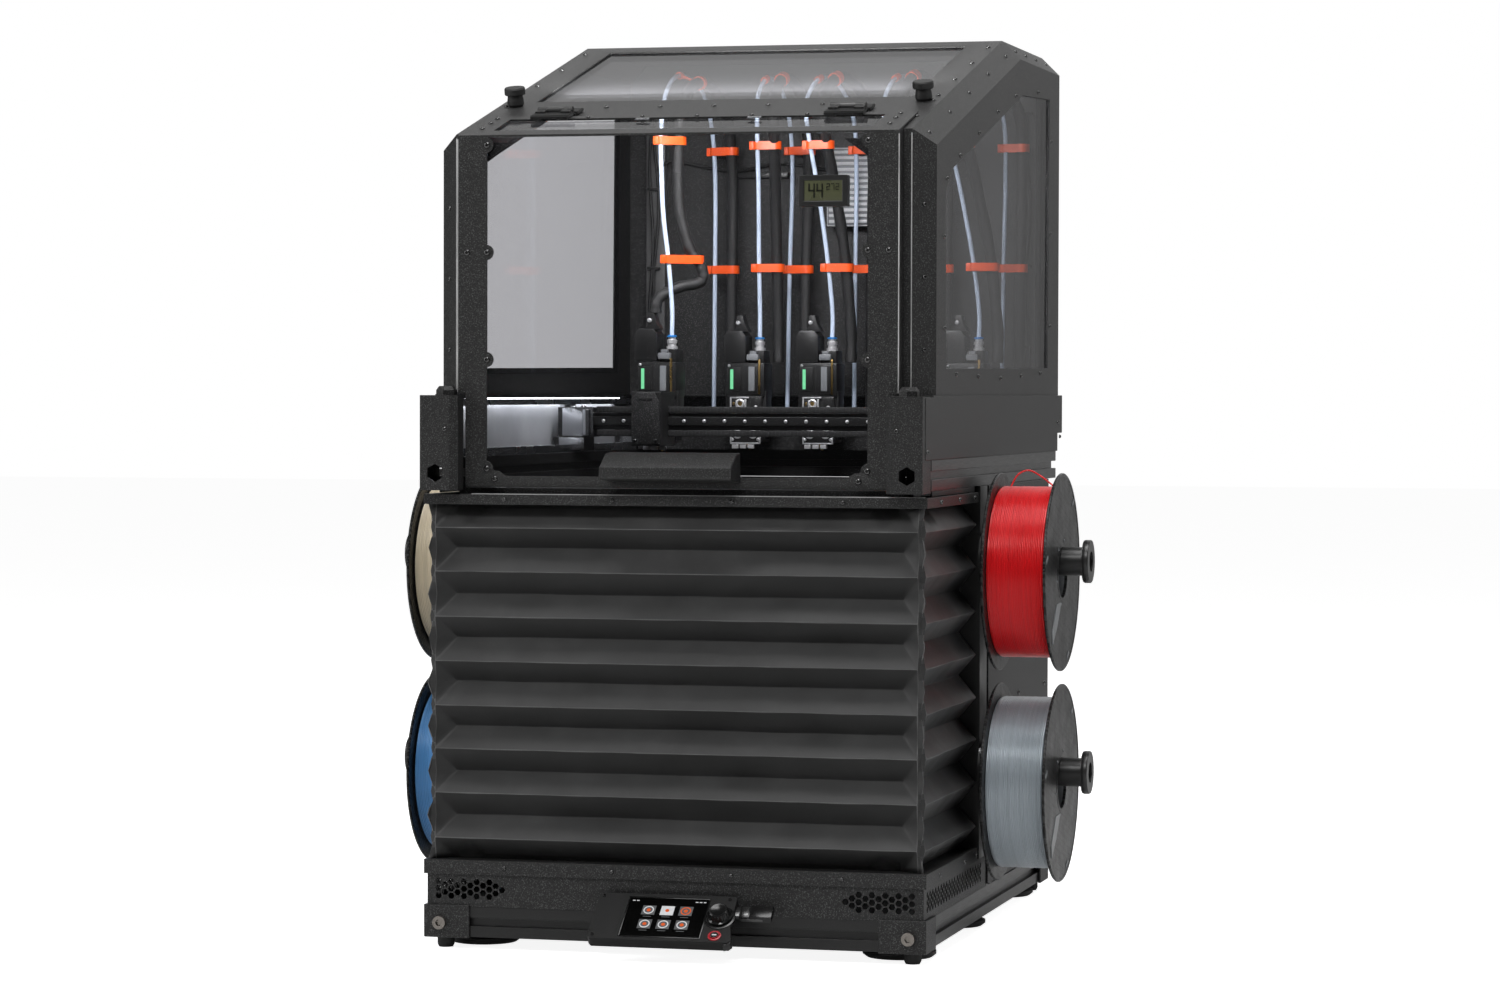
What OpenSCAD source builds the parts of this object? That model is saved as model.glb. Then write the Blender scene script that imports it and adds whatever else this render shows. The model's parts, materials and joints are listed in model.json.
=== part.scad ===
// Enclosed five-tool desktop 3D printer: base frame, folding bellows skirt, belt-driven
// upper frame, sheet-metal hood with a lift-up front door, four side spools and a tilted
// control panel. Millimetres, +Z up, -Y is the front. The origin is on the floor, under
// the middle of the whole object.

/* [Frame] */
// Width over the aluminium frame
frame_w = 500; // [480:5:520]
// Depth of the base frame
base_d = 646; // [630:2:660]
// Side of the square slotted profile
profile_s = 30; // [28:1:32]
// Clear height under the base frame
foot_h = 12; // [10:1:16]

/* [Hood] */
// Height of the hood's lower edge
hood_z0 = 546; // [540:1:552]
// Height of the flat roof
roof_z = 923; // [915:1:930]
// Distance from the front of the base to the roof's ridge
ridge_y = 479; // [470:1:490]
// Distance from the front of the base to the hood's rear wall
hood_back_y = 713; // [705:1:720]
// Distance from the front of the base to the hood's front face
hood_front_y = 28; // [26:1:30]
// Width of the chamfered strips along the hood's edges
chamfer = 20; // [16:1:22]
// Thickness of the folded sheet metal
sheet_t = 2; // [1.5:0.5:2]

/* [Door] */
// Width of the door
door_w = 443; // [440:1:443]
// Width of the door's side strips
door_strip = 30; // [26:1:32]
// Height of the door's lower edge
door_z0 = 455; // [455:1:458]

/* [Bellows] */
// Number of pleats
pleats = 8; // [6:1:10]
// Depth of each pleat
pleat_d = 18; // [14:1:20]
// Underside of the sliding top bar
bar_z = 438; // [430:1:438]

/* [Spools] */
// Outer diameter of a spool
spool_d = 201; // [195:1:202]
// Width of a spool over its flanges
spool_w = 66; // [60:1:66]
// Diameter of the wound filament
wound_d = 174; // [120:1:180]
// Diameter of a spool's bore
spool_bore = 52; // [50:1:54]
// Diameter of a spool holder's tube
holder_d = 29; // [27:1:29]

/* [Tools] */
// Distance between two parked tools
tool_pitch = 83; // [80:1:84]
// Place of the picked-up tool along the beam
tool_x = -139; // [-150:1:-120]

/* [Control panel] */
// Width of the control panel
panel_w = 138; // [136:1:140]
// Tilt of the control panel's face from the horizontal
panel_tilt = 37; // [35:1:39]

/* [Hidden] */
$fn = 32;
front_y = -334;
half_w = frame_w / 2;
base_top = foot_h + profile_s;
slope = 15;
roof_front_z = roof_z - (ridge_y - hood_front_y) * tan(slope);
hood_half = half_w - chamfer;
vent_z0 = base_top + 2;
vent_z1 = vent_z0 + 30;
skirt_back = 245;
low_bar_z1 = vent_z1 + 14;
post_top = 454;
frame_y0 = 28;
rail_z = post_top + profile_s;
body_back = 700;
door_y = 7;
door_lift = 1.2;
hinge_y = 103;
hinge_n = 7;
spool_y = 277.5;
spool_zs = [153, 367];
spool_x0 = 268;
holder_rise = (spool_bore - holder_d) / 2 - 0.3;
dock_y = 600;
tool_z0 = 484;
beam_y = 420;
rear_leg_y = 672;
fan_x = 34;
fan_z = 780;
outlet_d = 74;

black = "#1c1c1d";
satin = "#262627";
acrylic = "#8a8d9060";
steel = "#b9bcc0";

// ---- helpers ------------------------------------------------------------------------

module from_front() translate([0, front_y, 0]) children();

module both_sides() {
    children();
    mirror([1, 0, 0]) children();
}

// A plate in the XZ plane, its back on y = 0, growing towards -Y.
module front_plate(t) rotate([90, 0, 0]) linear_extrude(t) children();

// An outline drawn as (y, z), extruded along +X.
module side_extrude(w) rotate([90, 0, 90]) linear_extrude(w) children();

// On the sloping front of the roof: local x across, y up the slope from its front edge.
module on_slope() translate([0, hood_front_y, roof_front_z]) rotate([slope, 0, 0]) children();
up_slope = function(y) (y - hood_front_y) / cos(slope);

module slotted_section() {
    slot_w = 8;
    slot_d = 5;
    difference() {
        square(profile_s, center = true);
        for (a = [0 : 90 : 270])
            rotate(a) translate([-slot_w / 2, profile_s / 2 - slot_d]) square([slot_w, slot_d + 1]);
        circle(d = 7);
    }
}

module profile_x(length) rotate([90, 0, 90]) linear_extrude(length, center = true) slotted_section();
module profile_y(length) rotate([-90, 0, 0]) linear_extrude(length) slotted_section();
module profile_z(length) linear_extrude(length) slotted_section();

module slab(x0, x1, y0, y1, z0, z1) translate([x0, y0, z0]) cube([x1 - x0, y1 - y0, z1 - z0]);

// Hexagonal holes in columns of three and two by turns, drawn in 2D; a pointed field starts with one.
module hex_field(cols, pointed = false) {
    for (i = [0 : cols - 1]) {
        n = i % 2 == 1 ? 2 : pointed && i == 0 ? 1 : 3;
        for (j = [0 : n - 1]) translate([i * 6.55, (j - (n - 1) / 2) * 7.2]) circle(d = 6.7, $fn = 6);
    }
}

// ---- sweeping a round tube along hand-chosen points -----------------------------------

function unit(v) = v / norm(v);
function catmull(p0, p1, p2, p3, t) =
    0.5 * (2 * p1 + (p2 - p0) * t + (2 * p0 - 5 * p1 + 4 * p2 - p3) * t * t
        + (3 * p1 - p0 - 3 * p2 + p3) * t * t * t);
function smooth_route(p, steps) = [
    for (i = [0 : len(p) - 2], s = [0 : steps - 1])
        catmull(p[max(i - 1, 0)], p[i], p[i + 1], p[min(i + 2, len(p) - 1)], s / steps),
    p[len(p) - 1]
];
function tangent(p, i) = unit(p[min(i + 1, len(p) - 1)] - p[max(i - 1, 0)]);
function ring(c, t, r, sides) =
    let (u = unit(cross(t, [1, 0, 0])), w = cross(t, u))
    [for (k = [0 : sides - 1]) c + r * (cos(k * 360 / sides) * u + sin(k * 360 / sides) * w)];

module tube(route, d, steps = 3, sides = 8) {
    path = smooth_route(route, steps);
    n = len(path);
    points = [for (i = [0 : n - 1]) each ring(path[i], tangent(path, i), d / 2, sides)];
    walls = [
        for (i = [0 : n - 2], k = [0 : sides - 1])
            let (a = i * sides + k, b = i * sides + (k + 1) % sides)
            [a, b, b + sides, a + sides]
    ];
    first = [for (k = [0 : sides - 1]) sides - 1 - k];
    last = [for (k = [0 : sides - 1]) (n - 1) * sides + k];
    polyhedron(points, concat(walls, [first, last]));
}

// ---- base ---------------------------------------------------------------------------

module base_frame() color(satin) from_front() translate([0, 0, foot_h + profile_s / 2]) {
    for (y = [profile_s / 2, base_d - profile_s / 2]) translate([0, y, 0]) profile_x(frame_w);
    for (s = [-1, 1]) translate([s * (half_w - profile_s / 2), profile_s, 0])
        profile_y(base_d - 2 * profile_s);
}

module base_bracket() {
    t = 3;
    difference() {
        slab(half_w - 44, half_w + t, -t, 0, foot_h - 1, base_top + 1.5);
        translate([half_w - 14, 0, foot_h + 14]) rotate([90, 0, 0])
            cylinder(d = 8.4, h = 20, center = true);
    }
    slab(half_w, half_w + t, 0, 44, foot_h - 1, base_top + 1.5);
}

module base_brackets() color(black) both_sides() {
    from_front() base_bracket();
    translate([0, front_y + base_d, 0]) mirror([0, 1, 0]) base_bracket();
}

module base_screw() translate([half_w - 14, -3, foot_h + 14]) rotate([90, 0, 0]) difference() {
    union() {
        cylinder(d = 13, h = 5);
        translate([0, 0, -3]) cylinder(d = 8.2, h = 3);
    }
    translate([0, 0, 2]) cylinder(d = 7, h = 4, $fn = 6);
}

module base_screws() color("#5b5c5e") both_sides() {
    from_front() base_screw();
    translate([0, front_y + base_d, 0]) mirror([0, 1, 0]) base_screw();
}

// Four small corner feet and six wide rubber damping feet.
module feet() color("#151515") from_front() {
    for (s = [-1, 1], y = [16, base_d - 16]) translate([s * 236, y, 0]) {
        cylinder(d1 = 14, d2 = 17, h = 3);
        translate([0, 0, 3]) cylinder(d = 17, h = foot_h - 3);
    }
    for (s = [-1, 1], y = [66, 312, 580]) translate([s * 212, y, 0]) rotate_extrude($fn = 48)
        polygon([[0, 0], [32, 0], [36, 3], [36, 6], [30, 8.5], [30, foot_h], [0, foot_h]]);
}

module base_tray() color(satin) from_front()
    slab(-half_w + 30, half_w - 30, 30, base_d - 30, base_top - 6, base_top - 4);

// U-shaped folded cover on the base with honeycomb air vents in front and on both sides.
module vent_cover() {
    back = 306;
    color(black) from_front() {
        translate([0, sheet_t, vent_z0]) front_plate(sheet_t) difference() {
            translate([-half_w, -2]) square([frame_w, vent_z1 - vent_z0 + 2]);
            for (s = [-1, 1]) scale([s, 1]) translate([173, 15.3]) hex_field(11, true);
        }
        both_sides() {
            translate([half_w - sheet_t, 0, 0]) side_extrude(sheet_t) difference() {
                translate([sheet_t, vent_z0 - 2]) square([back - sheet_t, vent_z1 - vent_z0 + 2]);
                translate([16, vent_z0 + 15.3]) hex_field(41);
            }
            slab(half_w - 22, half_w - sheet_t, sheet_t, back, vent_z1 - sheet_t, vent_z1);
        }
        slab(-half_w + 22, half_w - 22, sheet_t, 24, vent_z1 - sheet_t, vent_z1);
    }
}

module vertical_posts() color(satin) from_front()
    for (s = [-1, 1], y = [skirt_back + 77, base_d - profile_s / 2])
        translate([s * (half_w - profile_s / 2), y, base_top]) profile_z(post_top - base_top);

module side_panel() {
    y0 = skirt_back + 62;
    slab(half_w, half_w + sheet_t, y0, base_d, base_top + 2, post_top);
    slab(half_w - 30, half_w, y0 - sheet_t, y0, vent_z1 + 1, post_top);
    slab(half_w, half_w + sheet_t, y0 - sheet_t, y0, vent_z1 + 1, post_top);
}

module side_panels() color(black) from_front() both_sides() side_panel();

module rear_panel() color(black) from_front() difference() {
    slab(-half_w, half_w, base_d, base_d + sheet_t, base_top + 2, post_top);
    for (x = [-150 : 12 : 150]) slab(x - 3, x + 3, base_d - 1, base_d + 4, 120, 180);
}

module electronics_cover() {
    y0 = base_d + sheet_t;
    color(black) from_front() difference() {
        slab(-190, 190, y0, body_back, 60, 430);
        slab(-188, 188, y0 - 1, body_back - sheet_t, 62, 428);
        slab(-163, -107, body_back - 5, body_back + 1, 84, 112);
        slab(-98, -76, body_back - 5, body_back + 1, 84, 112);
        for (x = [-60 : 12 : 160], z = [100, 320]) slab(x, x + 6, body_back - 5, body_back + 1, z, z + 70);
    }
}

// Mains inlet, seated in its cut-out, with three pins in a recess.
module power_inlet() color("#101010") from_front() {
    difference() {
        union() {
            slab(-162.5, -107.5, body_back - 26, body_back, 84.5, 111.5);
            slab(-166, -104, body_back, body_back + 2, 81, 115);
        }
        slab(-148, -122, body_back - 18, body_back + 3, 88.5, 107.5);
    }
    for (x = [-142, -135, -128]) slab(x - 1, x + 1, body_back - 18, body_back - 4, 94, 101);
}

// Rocker with a pivot pin at each side.
module power_switch() color("#0e0e0e") from_front() translate([-87, body_back - 1, 98]) rotate([0, 90, 0]) {
    linear_extrude(20, center = true) polygon([[-12.5, -5], [12.5, -5], [12.5, 1], [0, 2.4], [-12.5, 4]]);
    cylinder(d = 3, h = 21.6, center = true);
}

// ---- upper frame --------------------------------------------------------------------

module upper_frame() color(satin) from_front() translate([0, 0, post_top + profile_s / 2]) {
    for (s = [-1, 1]) translate([s * (half_w - profile_s / 2), frame_y0, 0])
        profile_y(body_back - frame_y0);
    translate([0, body_back - profile_s / 2, 0]) profile_x(frame_w - 2 * profile_s);
}

module corexy_cover() {
    y0 = 28;
    step_y = 700;
    back = 728;
    side = half_w + sheet_t;
    translate([half_w, 0, 0]) side_extrude(sheet_t) polygon([
        [-9, rail_z], [step_y, rail_z], [step_y, rail_z + 20], [back, rail_z + 20],
        [back, hood_z0 - 2], [-9, hood_z0 - 2]
    ]);
    slab(half_w - 12, side, y0, back, hood_z0 - 2, hood_z0);
    slab(-half_w, half_w, back - sheet_t, back, rail_z + 20, hood_z0 - 2);
    slab(-half_w, half_w, hood_back_y - 8, back, hood_z0 - 2, hood_z0);
}

module corexy_covers() color(black) from_front() both_sides() corexy_cover();

// Hollow guard at a front corner, chamfered towards the door, with a bolt head on top.
module front_bracket() {
    x0 = door_w / 2 + 1;
    x1 = half_w + 1.5;
    difference() {
        translate([0, 0, post_top - 2]) linear_extrude(hood_z0 - post_top + 1) polygon([
            [x1, -20], [x1, -9.5], [half_w - 0.4, -9.5], [half_w - 0.4, 27], [x0, 27], [x0, 4],
            [x0 - 8, 4], [x0 - 8, -13], [x0 - 1, -20]
        ]);
        slab(x0 + 2.5, half_w - 3, -17, 28, post_top + 1, hood_z0 - 3);
        translate([236, -20, post_top + 15]) rotate([90, 0, 0]) rotate(30)
            cylinder(d = 18, h = 10, center = true, $fn = 6);
    }
    translate([232.6, 6, hood_z0 - 1]) rotate(30) {
        cylinder(d = 21, h = 5, $fn = 6);
        translate([0, 0, 5]) cylinder(d1 = 21, d2 = 15, h = 4, $fn = 6);
    }
}
module front_brackets() color(black) from_front() both_sides() front_bracket();

module front_cross_bar() color(satin) from_front() difference() {
    slab(-half_w + 23, half_w - 23, frame_y0, frame_y0 + 26, post_top - 30, post_top);
    slab(-half_w + 22, half_w - 22, frame_y0 + 2, frame_y0 + 24, post_top - 28, post_top - 2);
}

// ---- hood ---------------------------------------------------------------------------

// Outline of the hood seen from the side, as (y, z), drawn in by t all round but the foot.
function hood_outline(drop, t) = [
    [hood_front_y + drop + t, hood_z0 - t / 2],
    [hood_front_y + drop + t,
        roof_front_z + drop * tan(slope) - drop - t * (1 / cos(slope) - tan(slope))],
    [ridge_y, roof_z - drop - t / cos(slope) + t * 0.03],
    [hood_back_y - t, roof_z - drop - t],
    [hood_back_y - t, hood_z0 - t / 2]
];

module hood_block(t) hull() {
    translate([-half_w + t, 0, 0]) side_extrude(frame_w - 2 * t) polygon(hood_outline(chamfer, t));
    translate([-hood_half + t * 0.6, 0, 0]) side_extrude(2 * hood_half - t * 1.2)
        polygon(hood_outline(0, t));
}

module hood_shell() difference() {
    hood_block(0);
    hood_block(sheet_t);
    slab(-half_w + 3, half_w - 3, hood_front_y + chamfer, hood_back_y - 3, hood_z0 - 2, hood_z0 + 9);
}

window_outline = [[97, 572], [646, 576], [652, 872], [495, 866], [122, 768], [90, 744]];

module hood_side() from_front() {
    difference() {
        intersection() {
            hood_shell();
            slab(hood_half, half_w + 1, 0, hood_back_y - sheet_t, hood_z0, roof_z + 1);
        }
        translate([half_w - 10, 0, 0]) side_extrude(20) polygon(window_outline);
    }
}

module hood_side_right() color(black) hood_side();
module hood_side_left() color(black) mirror([1, 0, 0]) hood_side();

module side_windows() color(acrylic) from_front() both_sides()
    translate([half_w - sheet_t - 3, 0, 0]) side_extrude(3) offset(delta = 6) polygon(window_outline);

module hood_front_frame() color(black) from_front() {
    difference() {
        intersection() {
            hood_shell();
            slab(-hood_half, hood_half, hood_front_y - 1, hood_front_y + sheet_t, hood_z0, roof_z);
        }
        slab(-204, 204, hood_front_y - 5, hood_front_y + 5, hood_z0 - 1, roof_z);
    }
}

module roof() color(black) from_front() {
    difference() {
        intersection() {
            hood_shell();
            slab(-hood_half, hood_half, hood_front_y + sheet_t, hood_back_y - sheet_t,
                roof_front_z - 3, roof_z);
        }
        on_slope() {
            slab(-196, 196, -10, up_slope(98), -9, 5);
            slab(-196, 196, up_slope(185), up_slope(452), -9, 5);
        }
    }
}

module roof_window() color(acrylic) from_front() on_slope()
    slab(-203, 203, up_slope(178), up_slope(458), -sheet_t - 3.2, -sheet_t - 0.2);

module rear_wall() color(black) from_front() difference() {
    translate([0, hood_back_y, 0]) front_plate(sheet_t) polygon([
        [-half_w, hood_z0], [-half_w, roof_z - chamfer], [-hood_half, roof_z],
        [hood_half, roof_z], [half_w, roof_z - chamfer], [half_w, hood_z0]
    ]);
    translate([fan_x, hood_back_y, fan_z]) rotate([90, 0, 0]) cylinder(d = outlet_d, h = 10, center = true);
}

// Square fan housing and pleated filter cartridge behind a slotted grille.
module air_filter() color("#d8dadb") from_front() translate([fan_x, hood_back_y - sheet_t, fan_z]) {
    difference() {
        translate([-44, -26, -44]) cube([88, 26, 88]);
        rotate([90, 0, 0]) translate([0, 0, -1]) cylinder(d = 76, h = 15);
        for (z = [-38 : 8 : 38]) translate([-40, -27, z - 2]) cube([80, 8, 4]);
    }
    translate([0, -14, 0]) rotate([-90, 0, 0]) {
        cylinder(d = 26, h = 1.8);
        cylinder(d = 4, h = 9);
    }
}

module exhaust_fan_rotor() color("#141414") from_front()
    translate([fan_x, hood_back_y - sheet_t - 12, fan_z]) rotate([-90, 0, 0]) difference() {
        union() {
            cylinder(d = 30, h = 10);
            for (a = [0 : 6]) rotate(a * 360 / 7) translate([13, -1, 1]) rotate(14) cube([20, 2, 8]);
        }
        translate([0, 0, -1]) cylinder(d = 4.1, h = 9);
    }

module roof_bumpers() color("#111111") from_front() on_slope()
    for (s = [-1, 1]) translate([s * 212, up_slope(165), 0]) rotate_extrude($fn = 40)
        polygon([
            [0, 0], [7, 0], [8.6, 2.5], [8.4, 6], [7.6, 11.4], [10, 12], [10.6, 12.8], [10.6, 18],
            [9.8, 19.4], [0, 19.4]
        ]);

// ---- door ---------------------------------------------------------------------------

hinge_xs = [-150, 150];
knuckle_d = 9;
pin_d = 4;

// Fixed hinge leaves, screwed to the roof, with a middle knuckle and the pin.
module hinge_base() color("#161616") from_front() on_slope()
    for (x = hinge_xs) translate([x, up_slope(hinge_y), 0]) {
        slab(-18, 18, knuckle_d / 2 + 1, 32, 0, 3);
        slab(-7.9, 7.9, 0, knuckle_d / 2 + 2, 0.2, hinge_n - 1);
        translate([0, 0, hinge_n]) rotate([0, 90, 0]) cylinder(d = knuckle_d, h = 15.8, center = true);
        translate([0, 0, hinge_n]) rotate([0, 90, 0]) cylinder(d = pin_d, h = 37, center = true);
    }

door_in_x = door_w / 2 - door_strip;
door_end = up_slope(hinge_y) - 8;
slope_z = function(y, n) roof_front_z + (y - hood_front_y) * tan(slope) + n / cos(slope);

// The front opening, drawn as (x, z); round tabs left in it carry the window screws.
module door_opening() {
    top = slope_z(door_y + sheet_t, door_lift) - 0.6;
    difference() {
        polygon([
            [-door_in_x, door_z0 + 24], [-door_in_x + 13, door_z0 + 11], [door_in_x - 13, door_z0 + 11],
            [door_in_x, door_z0 + 24], [door_in_x, top], [-door_in_x, top]
        ]);
        for (s = [-1, 1], z = [473, 580, 685, 790]) translate([s * (door_in_x + 1), z]) circle(r = 7.5);
    }
}

// Section through the folded sheet: bottom lip, front face and the sloping top.
function door_section() = [
    [door_y, door_z0], [door_y + 7, door_z0], [door_y + 7, door_z0 + sheet_t],
    [door_y + sheet_t, door_z0 + sheet_t], [door_y + sheet_t, slope_z(door_y + sheet_t, door_lift)],
    [hood_front_y + door_end * cos(slope) - door_lift * sin(slope),
        roof_front_z + door_end * sin(slope) + door_lift * cos(slope)],
    [hood_front_y + door_end * cos(slope) - (door_lift + sheet_t) * sin(slope),
        roof_front_z + door_end * sin(slope) + (door_lift + sheet_t) * cos(slope)],
    [door_y, slope_z(door_y, door_lift + sheet_t)]
];

module door_knuckle() translate([0, 0, hinge_n]) difference() {
    union() {
        rotate([0, 90, 0]) cylinder(d = knuckle_d, h = 9.8, center = true);
        slab(-4.9, 4.9, -12, 0, door_lift + 1 - hinge_n, 2);
        slab(-4.9, 4.9, -24, -11, door_lift + 1 - hinge_n, -1.5);
    }
    rotate([0, 90, 0]) cylinder(d = pin_d + 0.1, h = 20, center = true);
}

module door_frame() {
    half = door_w / 2;
    back = hood_front_y - 1;
    color(black) from_front() {
        difference() {
            translate([-half, 0, 0]) side_extrude(door_w) polygon(door_section());
            translate([0, door_y + 5, 0]) front_plate(10) door_opening();
            on_slope() slab(-door_in_x, door_in_x, 1, door_end - 13, -5, 10);
            both_sides() slab(door_w / 2 - 8, door_w, 0, back + 1, door_z0 - 1, hood_z0 + 1);
        }
        both_sides() translate([half - sheet_t, 0, 0]) side_extrude(sheet_t) polygon([
            [door_y + 1, hood_z0 + 1], [back, hood_z0 + 1], [back, slope_z(back, door_lift + 1)],
            [door_y + 1, slope_z(door_y + 1, door_lift + 1)]
        ]);
        on_slope() for (x = hinge_xs, s = [-1, 1])
            translate([x + s * 13, up_slope(hinge_y), 0]) door_knuckle();
    }
}

module door_window() color(acrylic) from_front()
    slab(-door_w / 2 + 8, door_w / 2 - 8, door_y + sheet_t, door_y + sheet_t + 3,
        door_z0 + 4, slope_z(door_y + sheet_t, door_lift) - 0.6);

module door_top_window() color(acrylic) from_front() on_slope()
    slab(-193, 193, -7, up_slope(hinge_y) - 24, -2, 1);

module door_handle() color("#151515") from_front() translate([-66, 0, 0]) side_extrude(132) polygon([
    [door_y, 461], [-28, 464], [-30, 466], [-30, 476], [-8, 489], [door_y, 490]
]);

module hygrometer() color("#0c0c0c") from_front() translate([149, door_y + sheet_t, 742]) difference() {
    slab(-24, 24, -10, 0, -15, 15);
    slab(-19, 19, -11, -9, -10, 10);
}

// ---- bellows skirt ------------------------------------------------------------------

skirt_half = half_w + 1;

// U-shaped bar around the front and both sides, between two heights.
module skirt_bar(z0, z1, y0, depth) {
    difference() {
        slab(-skirt_half - 2, skirt_half + 2, y0, skirt_back, z0, z1);
        slab(-skirt_half + depth, skirt_half - depth, y0 + depth, skirt_back + 1, z0 - 1, z1 + 1);
    }
}

module bellows_bottom_bar() color(black) from_front() skirt_bar(vent_z1, low_bar_z1, -3, 22);

module bellows_bar() color(black) from_front() skirt_bar(bar_z, bar_z + 10, -4, 22);

// One pleated wall in section, as (depth inwards, z).
function pleat_points(z0, z1, inward) = [
    for (i = [0 : 2 * pleats]) [(i % 2 == 0 ? pleat_d : 0) + inward, z0 + (z1 - z0) * i / (2 * pleats)]
];

module pleat_wall(length) {
    z0 = low_bar_z1 + 0.2;
    z1 = bar_z - 0.2;
    outer = pleat_points(z0, z1, 0);
    inner = pleat_points(z0, z1, 2);
    back = [for (i = [len(inner) - 1 : -1 : 0]) inner[i]];
    side_extrude(length) polygon(concat(outer, back));
}

module bellows() color("#333334") from_front() {
    reach = skirt_back + 1;
    intersection() {
        translate([-skirt_half, 0, 0]) pleat_wall(2 * skirt_half);
        linear_extrude(bar_z) polygon([
            [-skirt_half, 0], [skirt_half, 0], [skirt_half - 40, 40], [-skirt_half + 40, 40]
        ]);
    }
    both_sides() intersection() {
        translate([skirt_half, -1, 0]) rotate([0, 0, 90]) pleat_wall(reach);
        linear_extrude(bar_z) polygon([
            [skirt_half + 1, -1], [skirt_half - 40, 40], [skirt_half - 40, skirt_back],
            [skirt_half + 1, skirt_back]
        ]);
    }
}

// ---- spools -------------------------------------------------------------------------

module spool_holder(z) translate([half_w + 2, spool_y, z + holder_rise]) rotate([0, 90, 0]) {
    cylinder(d = 60, h = 5);
    difference() {
        cylinder(d = holder_d, h = 108);
        translate([0, 0, 90]) cylinder(d = holder_d - 8, h = 20);
    }
    translate([0, 0, 104]) difference() {
        cylinder(d = 43, h = 7);
        translate([0, 0, -1]) cylinder(d = holder_d - 8, h = 9);
    }
}

// A post behind each pair of holders ties them to the base and the upper frame.
module spool_holders() color("#121212") from_front() both_sides() {
    for (z = spool_zs) spool_holder(z);
    slab(half_w - 18, half_w + 2, spool_y - 18, spool_y + 18, vent_z1 + 1, post_top);
}

module spool(z, winding) from_front() translate([spool_x0, spool_y, z]) rotate([0, 90, 0]) {
    flange = 3;
    color("#1a1a1b") {
        for (h = [0, spool_w - flange]) translate([0, 0, h]) difference() {
            cylinder(d = spool_d, h = flange, $fn = 96);
            translate([0, 0, -1]) cylinder(d = spool_bore, h = flange + 2);
        }
    }
    color(winding) translate([0, 0, flange]) difference() {
        cylinder(d = wound_d, h = spool_w - 2 * flange, $fn = 96);
        translate([0, 0, -1]) cylinder(d = spool_bore, h = spool_w);
    }
}

module spool_upper_right() spool(spool_zs[1], "#c3141c");
module spool_lower_right() spool(spool_zs[0], "#8f9aa3");
module spool_upper_left() mirror([1, 0, 0]) spool(spool_zs[1], "#d9cfb8");
module spool_lower_left() mirror([1, 0, 0]) spool(spool_zs[0], "#5d92c4");

// ---- motion system ------------------------------------------------------------------

rail_x = 227;
belt_x = 234;

module y_rails() color(steel) from_front()
    for (s = [-1, 1]) translate([s * rail_x, 0, 0]) difference() {
        slab(-6, 6, 60, 660, rail_z, rail_z + 8);
        for (y = [80 : 80 : 640]) translate([0, y, rail_z + 5]) cylinder(d = 7, h = 5);
    }

// Beam between two saddles that run on the side rails.
module x_beam() from_front() {
    color("#202021") {
        slab(-204, 204, beam_y - 9, beam_y + 9, 508, 526);
        slab(-204, 204, beam_y - 13, beam_y - 9, 513, 522);
    }
    color(steel) for (s = [-1, 1]) translate([s * rail_x, 0, 0]) {
        difference() {
            slab(-15, 15, beam_y - 26, beam_y + 26, rail_z + 1, 500);
            slab(-6.1, 6.1, beam_y - 30, beam_y + 30, rail_z, rail_z + 8.1);
        }
        slab(s < 0 ? -12 : -23, s < 0 ? 23 : 12, beam_y - 20, beam_y + 20, 500, 532);
    }
}

module tool_carriage() from_front() translate([tool_x, 0, 0]) {
    color("#18181a") difference() {
        slab(-12, 21, beam_y - 41, beam_y + 14, 491, 549);
        slab(-22, 22, beam_y - 9.1, beam_y + 9.1, 507.9, 526.1);
        slab(-22, 22, beam_y - 13.1, beam_y - 9, 512.9, 522.1);
    }
}

// A print head: changer plate in front, hot end below, extruder and motor above.
module tool(x, y) translate([x, y, tool_z0]) {
    color("#17181a") {
        slab(-18, 18, 4, 44, 8, 60);
        slab(-22, 22, 3, 44, 60, 98);
        slab(-26, 0, 5, 37, 98, 132);
        slab(-12, 0, 10, 30, 132, 150);
        slab(0, 20, 8, 40, 98, 112);
    }
    color(steel) difference() {
        slab(-18, 18, 0, 4, 6, 60);
        for (s = [-1, 1], z = [12, 52]) translate([s * 12, 0, z]) rotate([90, 0, 0])
            cylinder(d = 6, h = 20, center = true);
    }
    color("#c9a24a") {
        translate([0, 24, 0]) cylinder(d1 = 2, d2 = 8, h = 4);
        translate([0, 24, 4]) cylinder(d = 8, h = 4);
    }
    color("#d8d8d8") translate([12, 20, 112]) cylinder(d = 9, h = 14);
}

module active_tool() from_front() tool(tool_x, beam_y + 14.2);

module parked_tools() from_front() for (i = [-1 : 2]) tool(i * tool_pitch, dock_y);

module tool_dock() from_front() {
    color("#2a2b2d") {
        slab(-220, 220, dock_y + 46, dock_y + 58, rail_z, rail_z + 44);
        slab(-220, 220, dock_y + 58, dock_y + 84, rail_z, rail_z + 16);
    }
    color(steel) for (i = [-2 : 2], s = [-1, 1])
        translate([i * tool_pitch + s * 27, dock_y + 46, rail_z + 30])
            rotate([90, 0, 0]) cylinder(d = 6, h = 40);
}

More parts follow.
